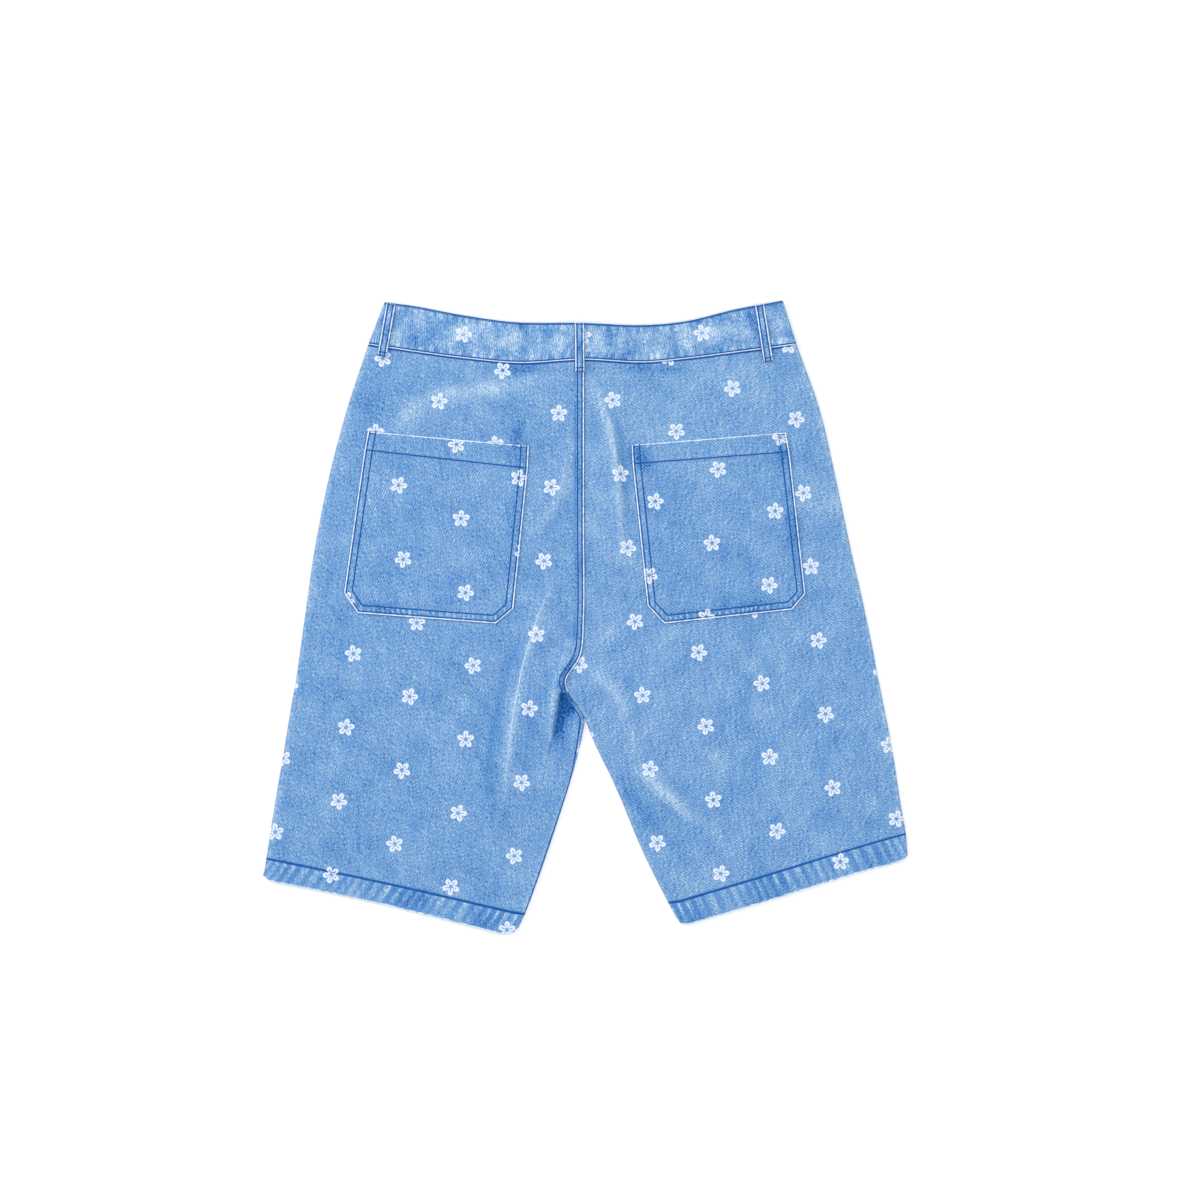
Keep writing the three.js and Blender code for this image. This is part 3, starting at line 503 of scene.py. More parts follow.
def leg_back(rows, hem, side):
    """A back panel's cloth, row by row from the turned-in hem up to the waist seam."""
    left = side == "left"
    stations = back_stations(rows)
    foot, angle, place, depth, span, *line = back_lines(rows, left, stations)
    start_x, start_y, across_x, across_y = line
    way = np.repeat([-1.0, 0.0, 1.0], [SIDE_STEPS, FAR_COLUMNS + CLOSE_COLUMNS, EDGE_STEPS])

    def laid(distance):
        x = start_x + across_x * distance
        y = bent(rows, hem, BACK_WAIST_SEAM, place, x, start_y + across_y * distance)
        return x, y + corner_lift(side, x, place)

    radius = ROLL - depth
    unrolled = foot + way * ROLL * angle
    from_seam = span + ROLL_LENGTH - unrolled
    x, y = laid(foot + way * radius * np.sin(angle))
    foot_x, foot_y = laid(foot)
    under_band = curve_y(BACK_WAIST_SEAM, x) - y
    lap = bell((place - LAP_PLACE) / 0.8) * bell(from_seam / 9)
    top = back_height(rows, foot_x, foot_y) + (-0.7 if left else 1.0) * lap
    in_hem = 1 - ease(place, 0.96, 1.04)
    rope = roping(0.9 * (unrolled - 9 * place), 0) * (0.95 + 0.35 * np.sin(unrolled / 17))
    rope = rope * in_hem * np.clip(place * 1.6, 0.02, 1) ** 0.5
    detail = in_hem * (HEM_RAISE + 0.3 * rope) * np.clip((unrolled + ROLL) / 14, 0, 1)
    detail -= 0.35 * bell((place - 1.0) / 0.045)
    edge = NO_ROW
    # Just under the waist seam the row mark draws a painted shadow line along the waistband's foot;
    # lower down it marks the hem's row of stitches
    row = np.where(under_band < 12, under_band - 0.7, (place - 1) * 22)
    if left:
        off = from_seam - inseam(foot_y)
        detail += seam_relief(place, from_seam, off)
        felled = place > sum(FELLED_FROM) / 2
        edge = np.where(felled, from_seam, NO_ROW)
        sewn = ~felled & (abs(off) < 9) & (place > 1.1) & (foot_y < INSEAM_TOP)
        row = np.where(sewn, off - INSEAM_ROW, row)
    else:
        top -= 0.6 * bell(from_seam / 3) * ease(place, 6.6, 7.2) * (under_band > 12)
    z = radius * np.cos(angle) + ROLL + (top - 2 * ROLL + detail) * (1 + np.cos(angle)) / 2
    crease, strength = crease_marks(side, foot_x, foot_y)
    return marked(
        np.stack([x, y, z], 2), np.stack(laid(unrolled), 2),
        edge=edge, row=np.clip(row, -NO_ROW, NO_ROW), crease=crease, strength=strength,
        fold=np.minimum(1.35 + HEM_DEPTH * np.maximum(place, 0), NO_ROW),
        rope=1.35 * rope - 0.4 * in_hem, relief=relief(z),
        shade=wash_and_shade_marks(foot_x, foot_y, RECESS_SHADE_MARKS * left) + hem_wash(unrolled) * in_hem,
    ), stations


left_cloth, left_stations = leg_back(LEFT_LEG, LEFT_HEM, "left")
right_cloth, right_stations = leg_back(RIGHT_LEG, RIGHT_HEM, "right")
left_back = thicken(cloth_mesh("left_back_twill", left_cloth), TWILL)
right_back = thicken(cloth_mesh("right_back_twill", right_cloth), TWILL)


class Level:
    """A value in a material's tree. A sum written with it becomes a node."""

    def __init__(self, tree, socket):
        self.tree, self.socket, self.node = tree, socket, socket.node

    def __add__(self, other):
        return reckon("ADD", self, other)

    def __sub__(self, other):
        return reckon("SUBTRACT", self, other)

    def __rsub__(self, other):
        return reckon("SUBTRACT", other, self)

    def __mul__(self, other):
        return reckon("MULTIPLY", self, other)

    def __truediv__(self, other):
        return reckon("DIVIDE", self, other)

    def __abs__(self):
        return reckon("ABSOLUTE", self)

    def feed(self, socket):
        self.tree.links.new(self.socket, socket)


def wire(tree, kind, sockets=(), output=0, **settings):
    """One output of a new node with its settings, and its sockets set or linked to levels."""
    made = tree.nodes.new(kind)
    for name, value in settings.items():
        setattr(made, name, value)
    for socket, value in dict(sockets).items():
        if isinstance(value, Level):
            value.feed(made.inputs[socket])
        else:
            made.inputs[socket].default_value = value
    return Level(tree, made.outputs[output])


def reckon(operation, *values):
    tree = next(value.tree for value in values if isinstance(value, Level))
    return wire(tree, "ShaderNodeMath", enumerate(values), operation=operation)


def between(value, low, high):
    """0 at low and 1 at high, softly."""
    sockets = {"Value": value, "From Min": low, "From Max": high}
    return wire(value.tree, "ShaderNodeMapRange", sockets, interpolation_type="SMOOTHSTEP")


def new_group(name, inputs, outputs):
    """A node group's tree, its inputs as levels by name, and the sockets of its output."""
    tree = bpy.data.node_groups.new(name, "ShaderNodeTree")
    for title, default in inputs.items():
        kind = "NodeSocketVector" if default is None else "NodeSocketFloat"
        socket = tree.interface.new_socket(title, in_out="INPUT", socket_type=kind)
        if default is not None:
            socket.default_value = default
    for title in outputs:
        kind = "NodeSocketColor" if title == "Color" else "NodeSocketFloat"
        tree.interface.new_socket(title, in_out="OUTPUT", socket_type=kind)
    given = tree.nodes.new("NodeGroupInput").outputs
    out = tree.nodes.new("NodeGroupOutput").inputs
    return tree, {title: Level(tree, given[title]) for title in inputs}, out


def srgb(red, green, blue):
    """A colour as a paint chart gives it, from 0 to 255, in the light that the shader works in."""
    levels = [level / 255 for level in (red, green, blue)]
    return *(v / 12.92 if v <= 0.04045 else ((v + 0.055) / 1.055) ** 2.4 for v in levels), 1


def noise(vector, scale, detail=3.0, roughness=0.55):
    sockets = {"Vector": vector, "Scale": scale, "Detail": detail, "Roughness": roughness}
    return wire(vector.tree, "ShaderNodeTexNoise", sockets, "Fac")


def axes(vector):
    return (wire(vector.tree, "ShaderNodeSeparateXYZ", {0: vector}, axis) for axis in "XY")


WASH_SHADES = [
    (0.0, srgb(0, 64, 128)),
    (0.26, srgb(70, 122, 184)),
    (0.5, srgb(102, 145, 191)),
    (0.72, srgb(132, 167, 201)),
    (1.0, srgb(180, 200, 220)),
    (1.3, srgb(214, 230, 246)),
]
MOST_WASHED = 1.3
LEAST_WASHED = 0.05
WALE_PITCH = 2.35 * MM


def washed_twill_group():
    """How washed twill is: clouds and marbling, streaks along the warp, pale flecks, diagonals."""
    tree, given, out = new_group(
        "washed_twill", {"Cloth": None, "Wash": 0.5, "Marbling": 0.2, "Wale Turn": -0.5},
        ["Washed", "Height"],
    )
    cloth, marbling = given["Cloth"], given["Marbling"]

    def stretched(by):
        sockets = {0: cloth, 1: (1.0, by, 1.0)}
        return wire(tree, "ShaderNodeVectorMath", sockets, operation="MULTIPLY")

    x, y = axes(cloth)
    cosine, sine = (reckon(kind, given["Wale Turn"]) for kind in ("COSINE", "SINE"))
    slanted = x * cosine + y * sine
    weave = wire(tree, "ShaderNodeCombineXYZ", {0: slanted, 1: (y * cosine - x * sine) * 0.4})
    phase = slanted * (2 * math.pi / WALE_PITCH)
    wale = reckon("SINE", noise(cloth, 150.0, detail=2.0) * 2.5 + phase)
    flecks = noise(weave, 900.0, detail=2.0, roughness=0.6)
    wrinkle = abs(noise(stretched(0.6), 55.0, roughness=0.6) - 0.5)
    washed = given["Wash"] + wale * 0.1
    for layer, amount in (
        (noise(cloth, 24.0, detail=5.0, roughness=0.6), 0.5),
        (noise(stretched(0.8), 55.0, detail=4.0, roughness=0.5), marbling),
        ((1.0 - between(wrinkle, 0.0, 0.022)) * 0.12 + 0.48, marbling),
        (noise(stretched(0.14), 330.0, detail=2.0), 0.35),
        (flecks, 1.75),
    ):
        washed += (layer - 0.5) * amount
    washed.feed(out["Washed"])
    (wale * 0.25 + flecks * 0.8).feed(out["Height"])
    return tree


FLOWER_REACH = 8.6 * MM
FLOWER_EYE = 2.0 * MM
PRINT_BLUR = 0.35 * MM
PRINT_COLUMN = 60 * MM
PRINT_ROW = 74 * MM


def flower_print_group():
    """A plain five-petalled flower in a half-drop repeat, each turned otherwise than the next."""
    tree, given, out = new_group("flower_print", {"Cloth": None}, ["Petals"])
    x, y = axes(given["Cloth"])
    column = x / PRINT_COLUMN
    column_number = reckon("FLOOR", column)
    row = y / PRINT_ROW + reckon("FLOORED_MODULO", column_number, 2.0) * 0.5
    x = (reckon("FRACT", column) - 0.5) * PRINT_COLUMN
    y = (reckon("FRACT", row) - 0.5) * PRINT_ROW
    reach = reckon("SQRT", x * x + y * y)
    turn = reckon("FLOOR", row) * 0.9 + column_number * 0.55
    lobe = abs(reckon("COSINE", (reckon("ARCTAN2", y, x) + turn) * 2.5))
    rim = reckon("POWER", lobe, 0.42) * FLOWER_REACH
    inside = between(rim - reach, -PRINT_BLUR, PRINT_BLUR)
    past_eye = between(reach - FLOWER_EYE, -PRINT_BLUR, PRINT_BLUR)
    vein = between((1.0 - lobe) * reach, 0.0, 0.25 * MM)
    vein = reckon("MAXIMUM", vein, between(reach, 5.6 * MM, 6.2 * MM))
    (inside * past_eye * vein).feed(out["Petals"])
    return tree


def mix_colour(factor, a, b):
    """b over a by a factor. The Mix node's colour sockets come after its other kinds."""
    sockets, settings = {0: factor, 6: a, 7: b}, {"data_type": "RGBA", "clamp_factor": True}
    return wire(factor.tree, "ShaderNodeMix", sockets, 2, **settings)


# Navy of the stitch rows, also used for the painted shade lines at the very edges and under the
# waistband
STITCH_AND_SHADE_LINE = srgb(0, 76, 152)
PRINT_WHITE = srgb(212, 220, 232)
EDGE_WIDTH = 1.9


def worn_and_shaded_seam_group():
    """Washed twill's colour where sewn: worn white edges, crests worn and highlighted, painted
    shade in hollows.
    """
    marks = {k.title(): float(plain) for k, plain in PLAIN_MARKS.items() if k != "shade"}
    rows = {"First Row": -NO_ROW, "Second Row": -NO_ROW}
    inputs = {"Washed": 0.5, "Cloth": None, **marks, **rows}
    tree, given, out = new_group("worn_and_shaded_seam", inputs, ["Color"])
    edge, raised, rope = given["Edge"], given["Relief"], given["Rope"]
    uneven = noise(given["Cloth"], 200.0)
    patchy = between(uneven, 0.3, 0.7)
    nearest = reckon("MINIMUM", edge, given["Fold"])
    bare = between((uneven + 0.4) * EDGE_WIDTH - nearest, -0.3, 0.3) * (patchy * 0.35 + 0.65)
    crease = (1.0 - between(abs(given["Crease"]), 0.3, 1.1)) * given["Strength"] * 0.6
    # Crests are paler partly from wear and partly as a painted highlight
    crest = reckon("MAXIMUM", between(raised, 0.1, 1.1) * 0.35, between(rope, 0.1, 1.0) * 0.7)
    light = reckon("MAXIMUM", crest * patchy, crease)
    # Painted shade: hollows and the troughs of the roping are made darker
    trough_shade, rope_trough_shade = between(raised * -1.0, 0.1, 1.1), between(rope * -1.0, 0.1, 1.0)
    painted_shade = reckon("MAXIMUM", trough_shade * 0.5, rope_trough_shade * 0.4)
    # A dark line at the very edge is painted shade; the row lines are stitches, and on the backs a
    # row also draws the painted shadow under the waistband
    lines = 1.0 - between(edge, 0.3, 0.7)
    for off in (edge - given["First Row"], edge - given["Second Row"], given["Row"]):
        lines = reckon("MAXIMUM", lines, 1.0 - between(abs(off), 0.4, 1.0))
    washed = given["Washed"]
    for share, goal in ((painted_shade, LEAST_WASHED), (light, MOST_WASHED), (bare, MOST_WASHED)):
        washed = (goal - washed) * share + washed
    colour = wire(tree, "ShaderNodeValToRGB", {"Fac": washed / MOST_WASHED})
    stops = colour.node.color_ramp.elements
    for k, (place, shade) in enumerate(WASH_SHADES):
        stop = stops[k] if k < 2 else stops.new(place / MOST_WASHED)
        stop.position, stop.color = place / MOST_WASHED, shade
    mix_colour(lines * (patchy * 0.08 + 0.9), colour, STITCH_AND_SHADE_LINE).feed(out["Color"])
    return tree


WASHED_TWILL = washed_twill_group()
FLOWER_PRINT = flower_print_group()
WORN_AND_SHADED_SEAM = worn_and_shaded_seam_group()
SHADE_DEPTH = 0.3


def new_material(name, roughness):
    material = bpy.data.materials.new(name)
    material.use_nodes = True
    shader = material.node_tree.nodes["Principled BSDF"].inputs
    shader["Roughness"].default_value = roughness
    return material, material.node_tree, shader


def bump(height, strength, distance, shader):
    sockets = {"Strength": strength, "Distance": distance, "Height": height}
    wire(height.tree, "ShaderNodeBump", sockets).feed(shader["Normal"])


def twill_material(name, turn, shift, wash=0.51, marbling=0.3, wale=-0.5, rows=()):
    """Washed twill with the print, its grain and repeat turned and shifted as the piece was cut."""
    material, tree, shader = new_material(name, 0.95)
    shader["Specular IOR Level"].default_value = 0.1
    pattern = wire(tree, "ShaderNodeUVMap", uv_map="cloth")
    placed = {"Vector": pattern, "Location": (*shift, 0.0), "Rotation": (0.0, 0.0, turn)}
    cut = wire(tree, "ShaderNodeMapping", placed)
    marks = {
        mark.title(): wire(tree, "ShaderNodeAttribute", (), "Fac", attribute_name=mark)
        for mark in PLAIN_MARKS
    }
    # The shade mark holds the wash's variation with painted shade and highlight
    wash = marks.pop("Shade") * SHADE_DEPTH + wash
    twill = {"Cloth": cut, "Wash": wash, "Marbling": marbling, "Wale Turn": wale}
    washed = wire(tree, "ShaderNodeGroup", twill, "Washed", node_tree=WASHED_TWILL)
    sewn = {"Cloth": cut, "Washed": washed, **marks, **dict(zip(("First Row", "Second Row"), rows))}
    # Seam wear with painted shade from the relief, rope and edge marks
    worn = wire(tree, "ShaderNodeGroup", sewn, node_tree=WORN_AND_SHADED_SEAM)
    petals = wire(tree, "ShaderNodeGroup", {"Cloth": cut}, node_tree=FLOWER_PRINT)
    mix_colour(petals * 0.93, worn, PRINT_WHITE).feed(shader["Base Color"])
    bump(Level(tree, washed.node.outputs["Height"]), 0.5, 0.5 * MM, shader)
    return material


def thread_material():
    """Navy core-spun thread, its ply showing as fine slanting lines."""
    material, tree, shader = new_material("navy_thread", 0.6)
    place = wire(tree, "ShaderNodeTexCoord", (), "Object")
    sockets = {"Vector": place, "Scale": 900.0, "Distortion": 1.0}
    ply = wire(tree, "ShaderNodeTexWave", sockets, "Fac", bands_direction="DIAGONAL")
    shade = noise(place, 90.0, detail=2.0) * 0.7 + ply * 0.25
    mix_colour(shade, srgb(0, 68, 138), srgb(4, 94, 172)).feed(shader["Base Color"])
    bump(ply, 0.4, 0.2 * MM, shader)
    return material


NAVY_THREAD = thread_material()
STITCH_PITCH = 3.0
STITCH_LENGTH = 2.95
STITCH_WIDTH = 0.85
STITCH_LIFT = 0.12
LOWEST_STITCH = 0.36


def reach_along(path):
    """How far along a path each of its points is."""
    return np.concatenate([[0], np.cumsum(np.linalg.norm(np.diff(path, axis=0), axis=1))])


def point_at(path, reached, distance):
    return np.stack([np.interp(distance, reached, part) for part in np.transpose(path)], -1)


def spaced(path, pitch):
    """Points at an even pitch along a path, each with the path's direction there."""
    reached = reach_along(path)
    wanted = np.arange(pitch / 2, reached[-1], pitch)
    behind, here, ahead = (point_at(path, reached, wanted + k * pitch / 2) for k in (-1, 0, 1))
    return list(zip(here, ahead - behind))


def zigzag(start, end, reach, step=0.5):
    """A bar tack: thread run to and fro across a short line."""
    start, end = np.array(start, float), np.array(end, float)
    run = end - start
    sideways = np.array([-run[1], run[0], 0]) / np.hypot(run[0], run[1])
    turns = max(2, round(np.linalg.norm(run) / step))
    return [start + run * k / turns + sideways * reach * (k % 2 - 0.5) for k in range(turns + 1)]


def sew(name, rows, tacks=(), up=1):
    """Rows of stitches and bar tacks as one piece, each stitch a round thread on the cloth."""
    stitches = [(*stitch, STITCH_LENGTH) for row in rows for stitch in spaced(row, STITCH_PITCH)]
    for tack in tacks:
        leg = math.dist(tack[0], tack[1])
        stitches += [(*stitch, leg) for stitch in spaced(tack, leg)]
    bm = bmesh.new()
    for centre, way, length in stitches:
        forward = Vector(way).normalized()
        sideways = Vector((0, 0, up)).cross(forward).normalized()
        turned = Matrix((forward, sideways, forward.cross(sideways))).transposed().to_4x4()
        size = Matrix.Diagonal((length / 2, STITCH_WIDTH / 2, STITCH_WIDTH / 2.6, 1))
        lifted = Vector(centre) + Vector((0, 0, up * STITCH_LIFT))
        lifted.z = max(lifted.z, LOWEST_STITCH)
        place = Matrix.Translation(lifted * MM) @ Matrix.Scale(MM, 4) @ turned @ size
        bmesh.ops.create_icosphere(bm, subdivisions=1, radius=1, matrix=place)
    thread = finished(bm, name, NAVY_THREAD)
    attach(thread, "root")
    return thread


def row_near(stations, place):
    return min(range(len(stations)), key=lambda i: abs(stations[i][0] - place) + 9 * stations[i][1])


left_hem_row = row_near(left_stations, 1.0)
right_hem_row = row_near(right_stations, 1.0)
seam_start = row_near(left_stations, 6.05)
left_paths = [left_cloth.points[left_hem_row, 3:-4]]
for distance in SEAM_ROWS:
    column = -1 - round(distance / ROLL_LENGTH * EDGE_STEPS)
    left_paths.append(left_cloth.points[seam_start:-1, column])
inseam_path = []
for i in range(left_hem_row, seam_start):
    row, flat = left_cloth.points[i], left_cloth.flat[i]
    if row[-1, 1] <= INSEAM_TOP:
        from_seam = np.linalg.norm(flat - flat[-1], axis=1)
        inseam_path.append(row[np.argmin(abs(from_seam - inseam(row[-1, 1]) - INSEAM_ROW))])
left_paths.append(inseam_path)
left_thread = sew("left_back_stitches", left_paths)
right_thread = sew("right_back_stitches", [right_cloth.points[right_hem_row, 4:-3]])
left_wash = twill_material("left_back_wash", 0.1, (0.017, 0.021), rows=SEAM_ROWS)
right_wash = twill_material("right_back_wash", -0.1, (0.041, 0.008), wash=0.53, wale=0.95)
for piece, node, stitches, wash in (
    (left_back, "back_left", left_thread, left_wash),
    (right_back, "back_right", right_thread, right_wash),
):
    piece.data.materials.append(wash)
    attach(piece, "root")
    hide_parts(node)


# Patch pockets
# Two five-sided patches of the same twill lie on the back panels. Their edges are turned in and
# sewn round with two rows, and a wide turned mouth is sewn down and tacked at its corners.
PocketRow = namedtuple("PocketRow", "left right")
LEFT_POCKET = [
    PocketRow((-227.5, 5), (-89.5, -5.5)),
    PocketRow((-241.5, 25.5), (-71.5, 9.5)),
    PocketRow((-221, 168.5), (-57, 150)),
    PocketRow((-217.5, 187), (-56, 172.5)),
]
RIGHT_POCKET = [
    PocketRow((78.5, -5.5), (206.5, 8.5)),
    PocketRow((61.5, 12.5), (220, 24.5)),
    PocketRow((46.5, 154.5), (204, 166.5)),
    PocketRow((45.5, 173.5), (200.5, 186)),
]
POCKET_TWILL = 0.9
POCKET_RISE = 1.5
POCKET_MOUTH_RISE = 0.55
POCKET_TURNED = 9.2
POCKET_BOTTOM = 24
POCKET_ROWS = (2.5, 8.4)
RIM = 1.0


def from_lines(points, x, y):
    """How far (x, y) is from the nearest of the straight lines between points."""
    return np.min([from_stretch(a, b, x, y)[0] for a, b in zip(points, points[1:])], axis=0)


def over_line(a, b, x, y):
    """How far (x, y) is above the line from a on the left to b on the right."""
    run = np.subtract(b, a)
    return (run[0] * (y - a[1]) - run[1] * (x - a[0])) / np.hypot(run[0], run[1])


def rounded(distance):
    """Height share of a folded edge, from 0 at the fold to 1 where the cloth lies flat."""
    return np.sqrt(1 - (1 - np.clip(distance / RIM, 0, 1)) ** 2)


def sewn_outline(table):
    return [row.left for row in reversed(table)] + [row.right for row in table]


def pocket_face(rows, table, x, y):
    """Height of the pocket's outer face, with its distances from the sewn edge and the mouth."""
    edge = from_lines(sewn_outline(table), x, y)
    mouth = np.maximum(-over_line(*table[-1], x, y), 0)
    over_stitch = over_line(*table[-2], x, y)
    hem = ease(over_stitch, -0.7, 0.7)
    at_bottom = y < POCKET_BOTTOM
    rope = roping(np.where(at_bottom, x, y) * 1.7, 0.1 * edge) * bell((edge - 5.2) / 3)
    rope = rope * np.where(at_bottom, 1.7, 0.6)
    rope += 0.7 * roping(x * 1.2, 0.1 * over_stitch) * bell((over_stitch - 7) / 7) * hem
    turned = 0.4 * (1 - ease(edge, POCKET_TURNED - 0.8, POCKET_TURNED + 0.8))
    detail = turned * (1 - hem) + POCKET_MOUTH_RISE * hem + 0.22 * rope
    for row in POCKET_ROWS:
        detail -= 0.3 * bell((edge - row) / 0.75)
    detail -= 0.35 * bell(over_stitch / 0.8) * ease(edge, 7, 8)
    detail += 0.25 * np.sin(x / 17 + y / 29) * ease(edge, 10, 40)
    full = (POCKET_RISE + detail) * rounded(edge) * rounded(mouth)
    return back_height(rows, x, y) + 0.25 + full, edge, mouth, rope, over_stitch


NEAR_EDGE = [0, 0.25, 0.6, 1.1, 1.8, 2.6, 3.6, 5, 6.4, 7.4, 8, 8.7, 9.6, 11]


def near_and_far(length, step, ends=NEAR_EDGE):
    """Distances from 0 to a length, close together by both ends and even between them."""
    ends = np.array(ends, float)
    middle = np.linspace(ends[-1], length - ends[-1], max(2, round((length - 2 * ends[-1]) / step)))
    return np.concatenate([ends[:-1], middle, length - ends[::-1][1:]])


def pocket_cloth(rows, table):
    lefts, rights = (np.array(edge) for edge in zip(*table))
    reached = reach_along(lefts)
    up = near_and_far(reached[-1], 1.9)
    width = np.linalg.norm(rights[1] - lefts[1])
    across = near_and_far(width, 2.0) / width
    start, end = (point_at(edge, reached, up).T[:, :, None] for edge in (lefts, rights))
    x, y = start + (end - start) * across
    z, edge, mouth, rope, over_stitch = pocket_face(rows, table, x, y)
    return marked(
        np.stack([x, y, z], 2), np.stack([x, y], 2), edge=edge, fold=mouth + 0.45, rope=rope,
        row=np.where(edge > 1.5, over_stitch, NO_ROW), relief=relief(z), shade=wash_and_shade_marks(x, y),
    )


def inset(table, distance):
    """The pocket's sewn outline moved in by a distance, from mouth corner to mouth corner."""
    outline = np.array(sewn_outline(table), float)
    runs = np.diff(outline, axis=0)
    normals = np.stack([-runs[:, 1], runs[:, 0]], 1) / np.hypot(runs[:, 0], runs[:, 1])[:, None]
    middles = normals[:-1] + normals[1:]
    middles = 2 * middles / (middles * middles).sum(1)[:, None]
    return outline + distance * np.concatenate([normals[:1], middles, normals[-1:]])


def drape(path, surface, step=1.0):
    """A flat path laid on a surface, as points close together."""
    reached = reach_along(path)
    at = np.linspace(0, reached[-1], max(2, round(reached[-1] / step)))
    x, y = point_at(path, reached, at).T
    return np.stack([x, y, surface(x, y)], 1)


TACK_REACH = 1.5
UNDER_MOUTH = (0, -1.6)
for side, rows, table, turn, shift, wale in (
    ("left", LEFT_LEG, LEFT_POCKET, -0.06, (0.028, 0.004), -0.5),
    ("right", RIGHT_LEG, RIGHT_POCKET, 0.08, (0.03, 0.026), 0.95),
):
    def face(x, y):
        return pocket_face(rows, table, x, y)[0]

    pocket = thicken(cloth_mesh(f"{side}_pocket_twill", pocket_cloth(rows, table)), POCKET_TWILL)
    pocket.data.materials.append(
        twill_material(f"{side}_pocket_wash", turn, shift, wash=0.49, wale=wale, rows=POCKET_ROWS)
    )
    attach(pocket, "root")
    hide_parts(f"pocket_{side}")
    outer_row, inner_row = (inset(table, distance) for distance in POCKET_ROWS)
    stitch_left, stitch_right = np.array(table[-2], float)
    along_mouth = (stitch_right - stitch_left) / math.dist(stitch_left, stitch_right)
    mouth_row = [stitch_left + along_mouth * 2, stitch_right - along_mouth * 2]
    tacks = []
    for k in (0, -1):
        tack = drape([outer_row[k] + UNDER_MOUTH, inner_row[k] + UNDER_MOUTH], face)
        tacks.append(zigzag(tack[0], tack[-1], TACK_REACH))
    sewn = [drape(path, face) for path in (outer_row, inner_row, mouth_row)]
    thread = sew(f"{side}_pocket_stitches", sewn, tacks)


# Front panels
# The fronts are cut lower at the waist than the backs and lie under them, flat on the surface.
# They meet at a lapped fly with a curved row of stitches, and their hems are turned up too.
CLOSURE_X = 4
FRONT_TWILL = 1.0
FRONT_GAP = 0.4
FRONT_RISE = (10, 34)
BAND_FLOOR = 1.7
CLOSURE_LIFT = 1.9
BUTTON_PLACE = (-9, 248)
CLOSURE_LIFT_WIDTH = 22
FRONT_WAIST_SEAM = [
    (-217, 273), (-150, 246), (-90, 234), (4, 228), (90, 234), (150, 246), (211, 273),
]
FRONT_COLUMNS, FRONT_ROWS = 61, 110
FLY_ROW = [(-34, 226), (-35, 150), (-34, 108), (-24, 78), (2, 60)]


def closure_lift(x):
    return CLOSURE_LIFT * bell((x - BUTTON_PLACE[0]) / CLOSURE_LIFT_WIDTH)


def front_rise(x, y):
    """How far the front is lifted off the surface where it runs up into the waistband."""
    below_seam = curve_y(FRONT_WAIST_SEAM, x) - y
    return (1 - ease(below_seam, *FRONT_RISE)) * (BAND_FLOOR + closure_lift(x) + 0.4)


def leg_front(rows, hem, side):
    centre = CLOSURE_X + (0.15 if side == "right" else -0.15)
    inner = [row.inner for row in rows[: CROTCH_ROW + 1]] + [(centre - 8, -58)]
    inner += [(centre, y) for y in (-30, 0, 75, 150, 228)]
    front_rows = [row._replace(inner=point) for row, point in zip(rows, inner)]
    stations = np.concatenate([
        [0, 0.012, 0.03, 0.06], np.linspace(0.12, 0.88, 6), [0.95, 0.98, 1, 1.02, 1.05],
        np.linspace(1.12, len(rows) - 1, FRONT_ROWS),
    ])
    lines = []
    for place in stations:
        start, end, across, curl = panel_edges(front_rows, place)
        joined = ease(place, 4.5, 5.0)
        drawn_in = (ROLL + FRONT_GAP) * ease(curl, 0, 0.5) * (1 - joined)
        start += across * (ROLL + FRONT_GAP)
        end -= across * (drawn_in - 0.4 * joined * (1 - ease(place, 6.4, 7)))
        x, y = (start + (end - start) * np.linspace(0, 1, FRONT_COLUMNS)[:, None]).T
        place = np.full(FRONT_COLUMNS, place)
        y = bent(front_rows, hem, FRONT_WAIST_SEAM, place, x, y)
        lines.append([x, y + corner_lift(side, x, place), place])
    x, y, place = np.array(lines).transpose(1, 0, 2)
    in_hem = 1 - ease(place, 0.97, 1.03)
    rope = roping(x, 2.2 * place) * in_hem
    z = front_rise(x, y) + 0.25 * (1 - in_hem) + 0.1 * (1 - rope) * in_hem
    z = z + 0.3 * bell((place - 1) / 0.03) + 0.3 * bell(place / 0.012)
    return marked(
        np.stack([x, y, z], 2), np.stack([x, y], 2), rope=rope, relief=relief(-z),
        fold=place * HEM_DEPTH + 0.3, row=np.clip((place - 1) * 22, -30, 30),
        shade=0.4 * np.sin(x / 43 + y / 37) * np.sin(y / 53 - x / 61),
    )


HEM_ROW = 12
for side, rows, hem, way, shift in (
    ("left", LEFT_LEG, LEFT_HEM, -1, (0.031, 0.052)),
    ("right", RIGHT_LEG, RIGHT_HEM, 1, (0.006, 0.03)),
):
    cloth = leg_front(rows, hem, side)
    front = thicken(cloth_mesh(f"{side}_front_twill", cloth, facing=-1), FRONT_TWILL)
    front.data.materials.append(twill_material(f"{side}_front_wash", 0.04 * way, shift))
    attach(front, "root")
    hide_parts(f"front_{side}")
    seam_x = CLOSURE_X + way * 2.2
    paths = [[(seam_x, 222), (seam_x, -30)]]
    if way < 0:
        beside_fly = [(x + 5, y + (6 if y < 100 else 0)) for x, y in FLY_ROW[:-1]]
        paths += [FLY_ROW, beside_fly, [(CLOSURE_X - 7, 50), (CLOSURE_X - 7, -30)]]
    sewn = [cloth.points[HEM_ROW, 2:-2] + (0, 0, -0.1)]
    sewn += [drape(path, lambda x, y: front_rise(x, y) + 0.15) for path in paths]
    thread = sew(f"{side}_front_stitches", sewn, up=-1)


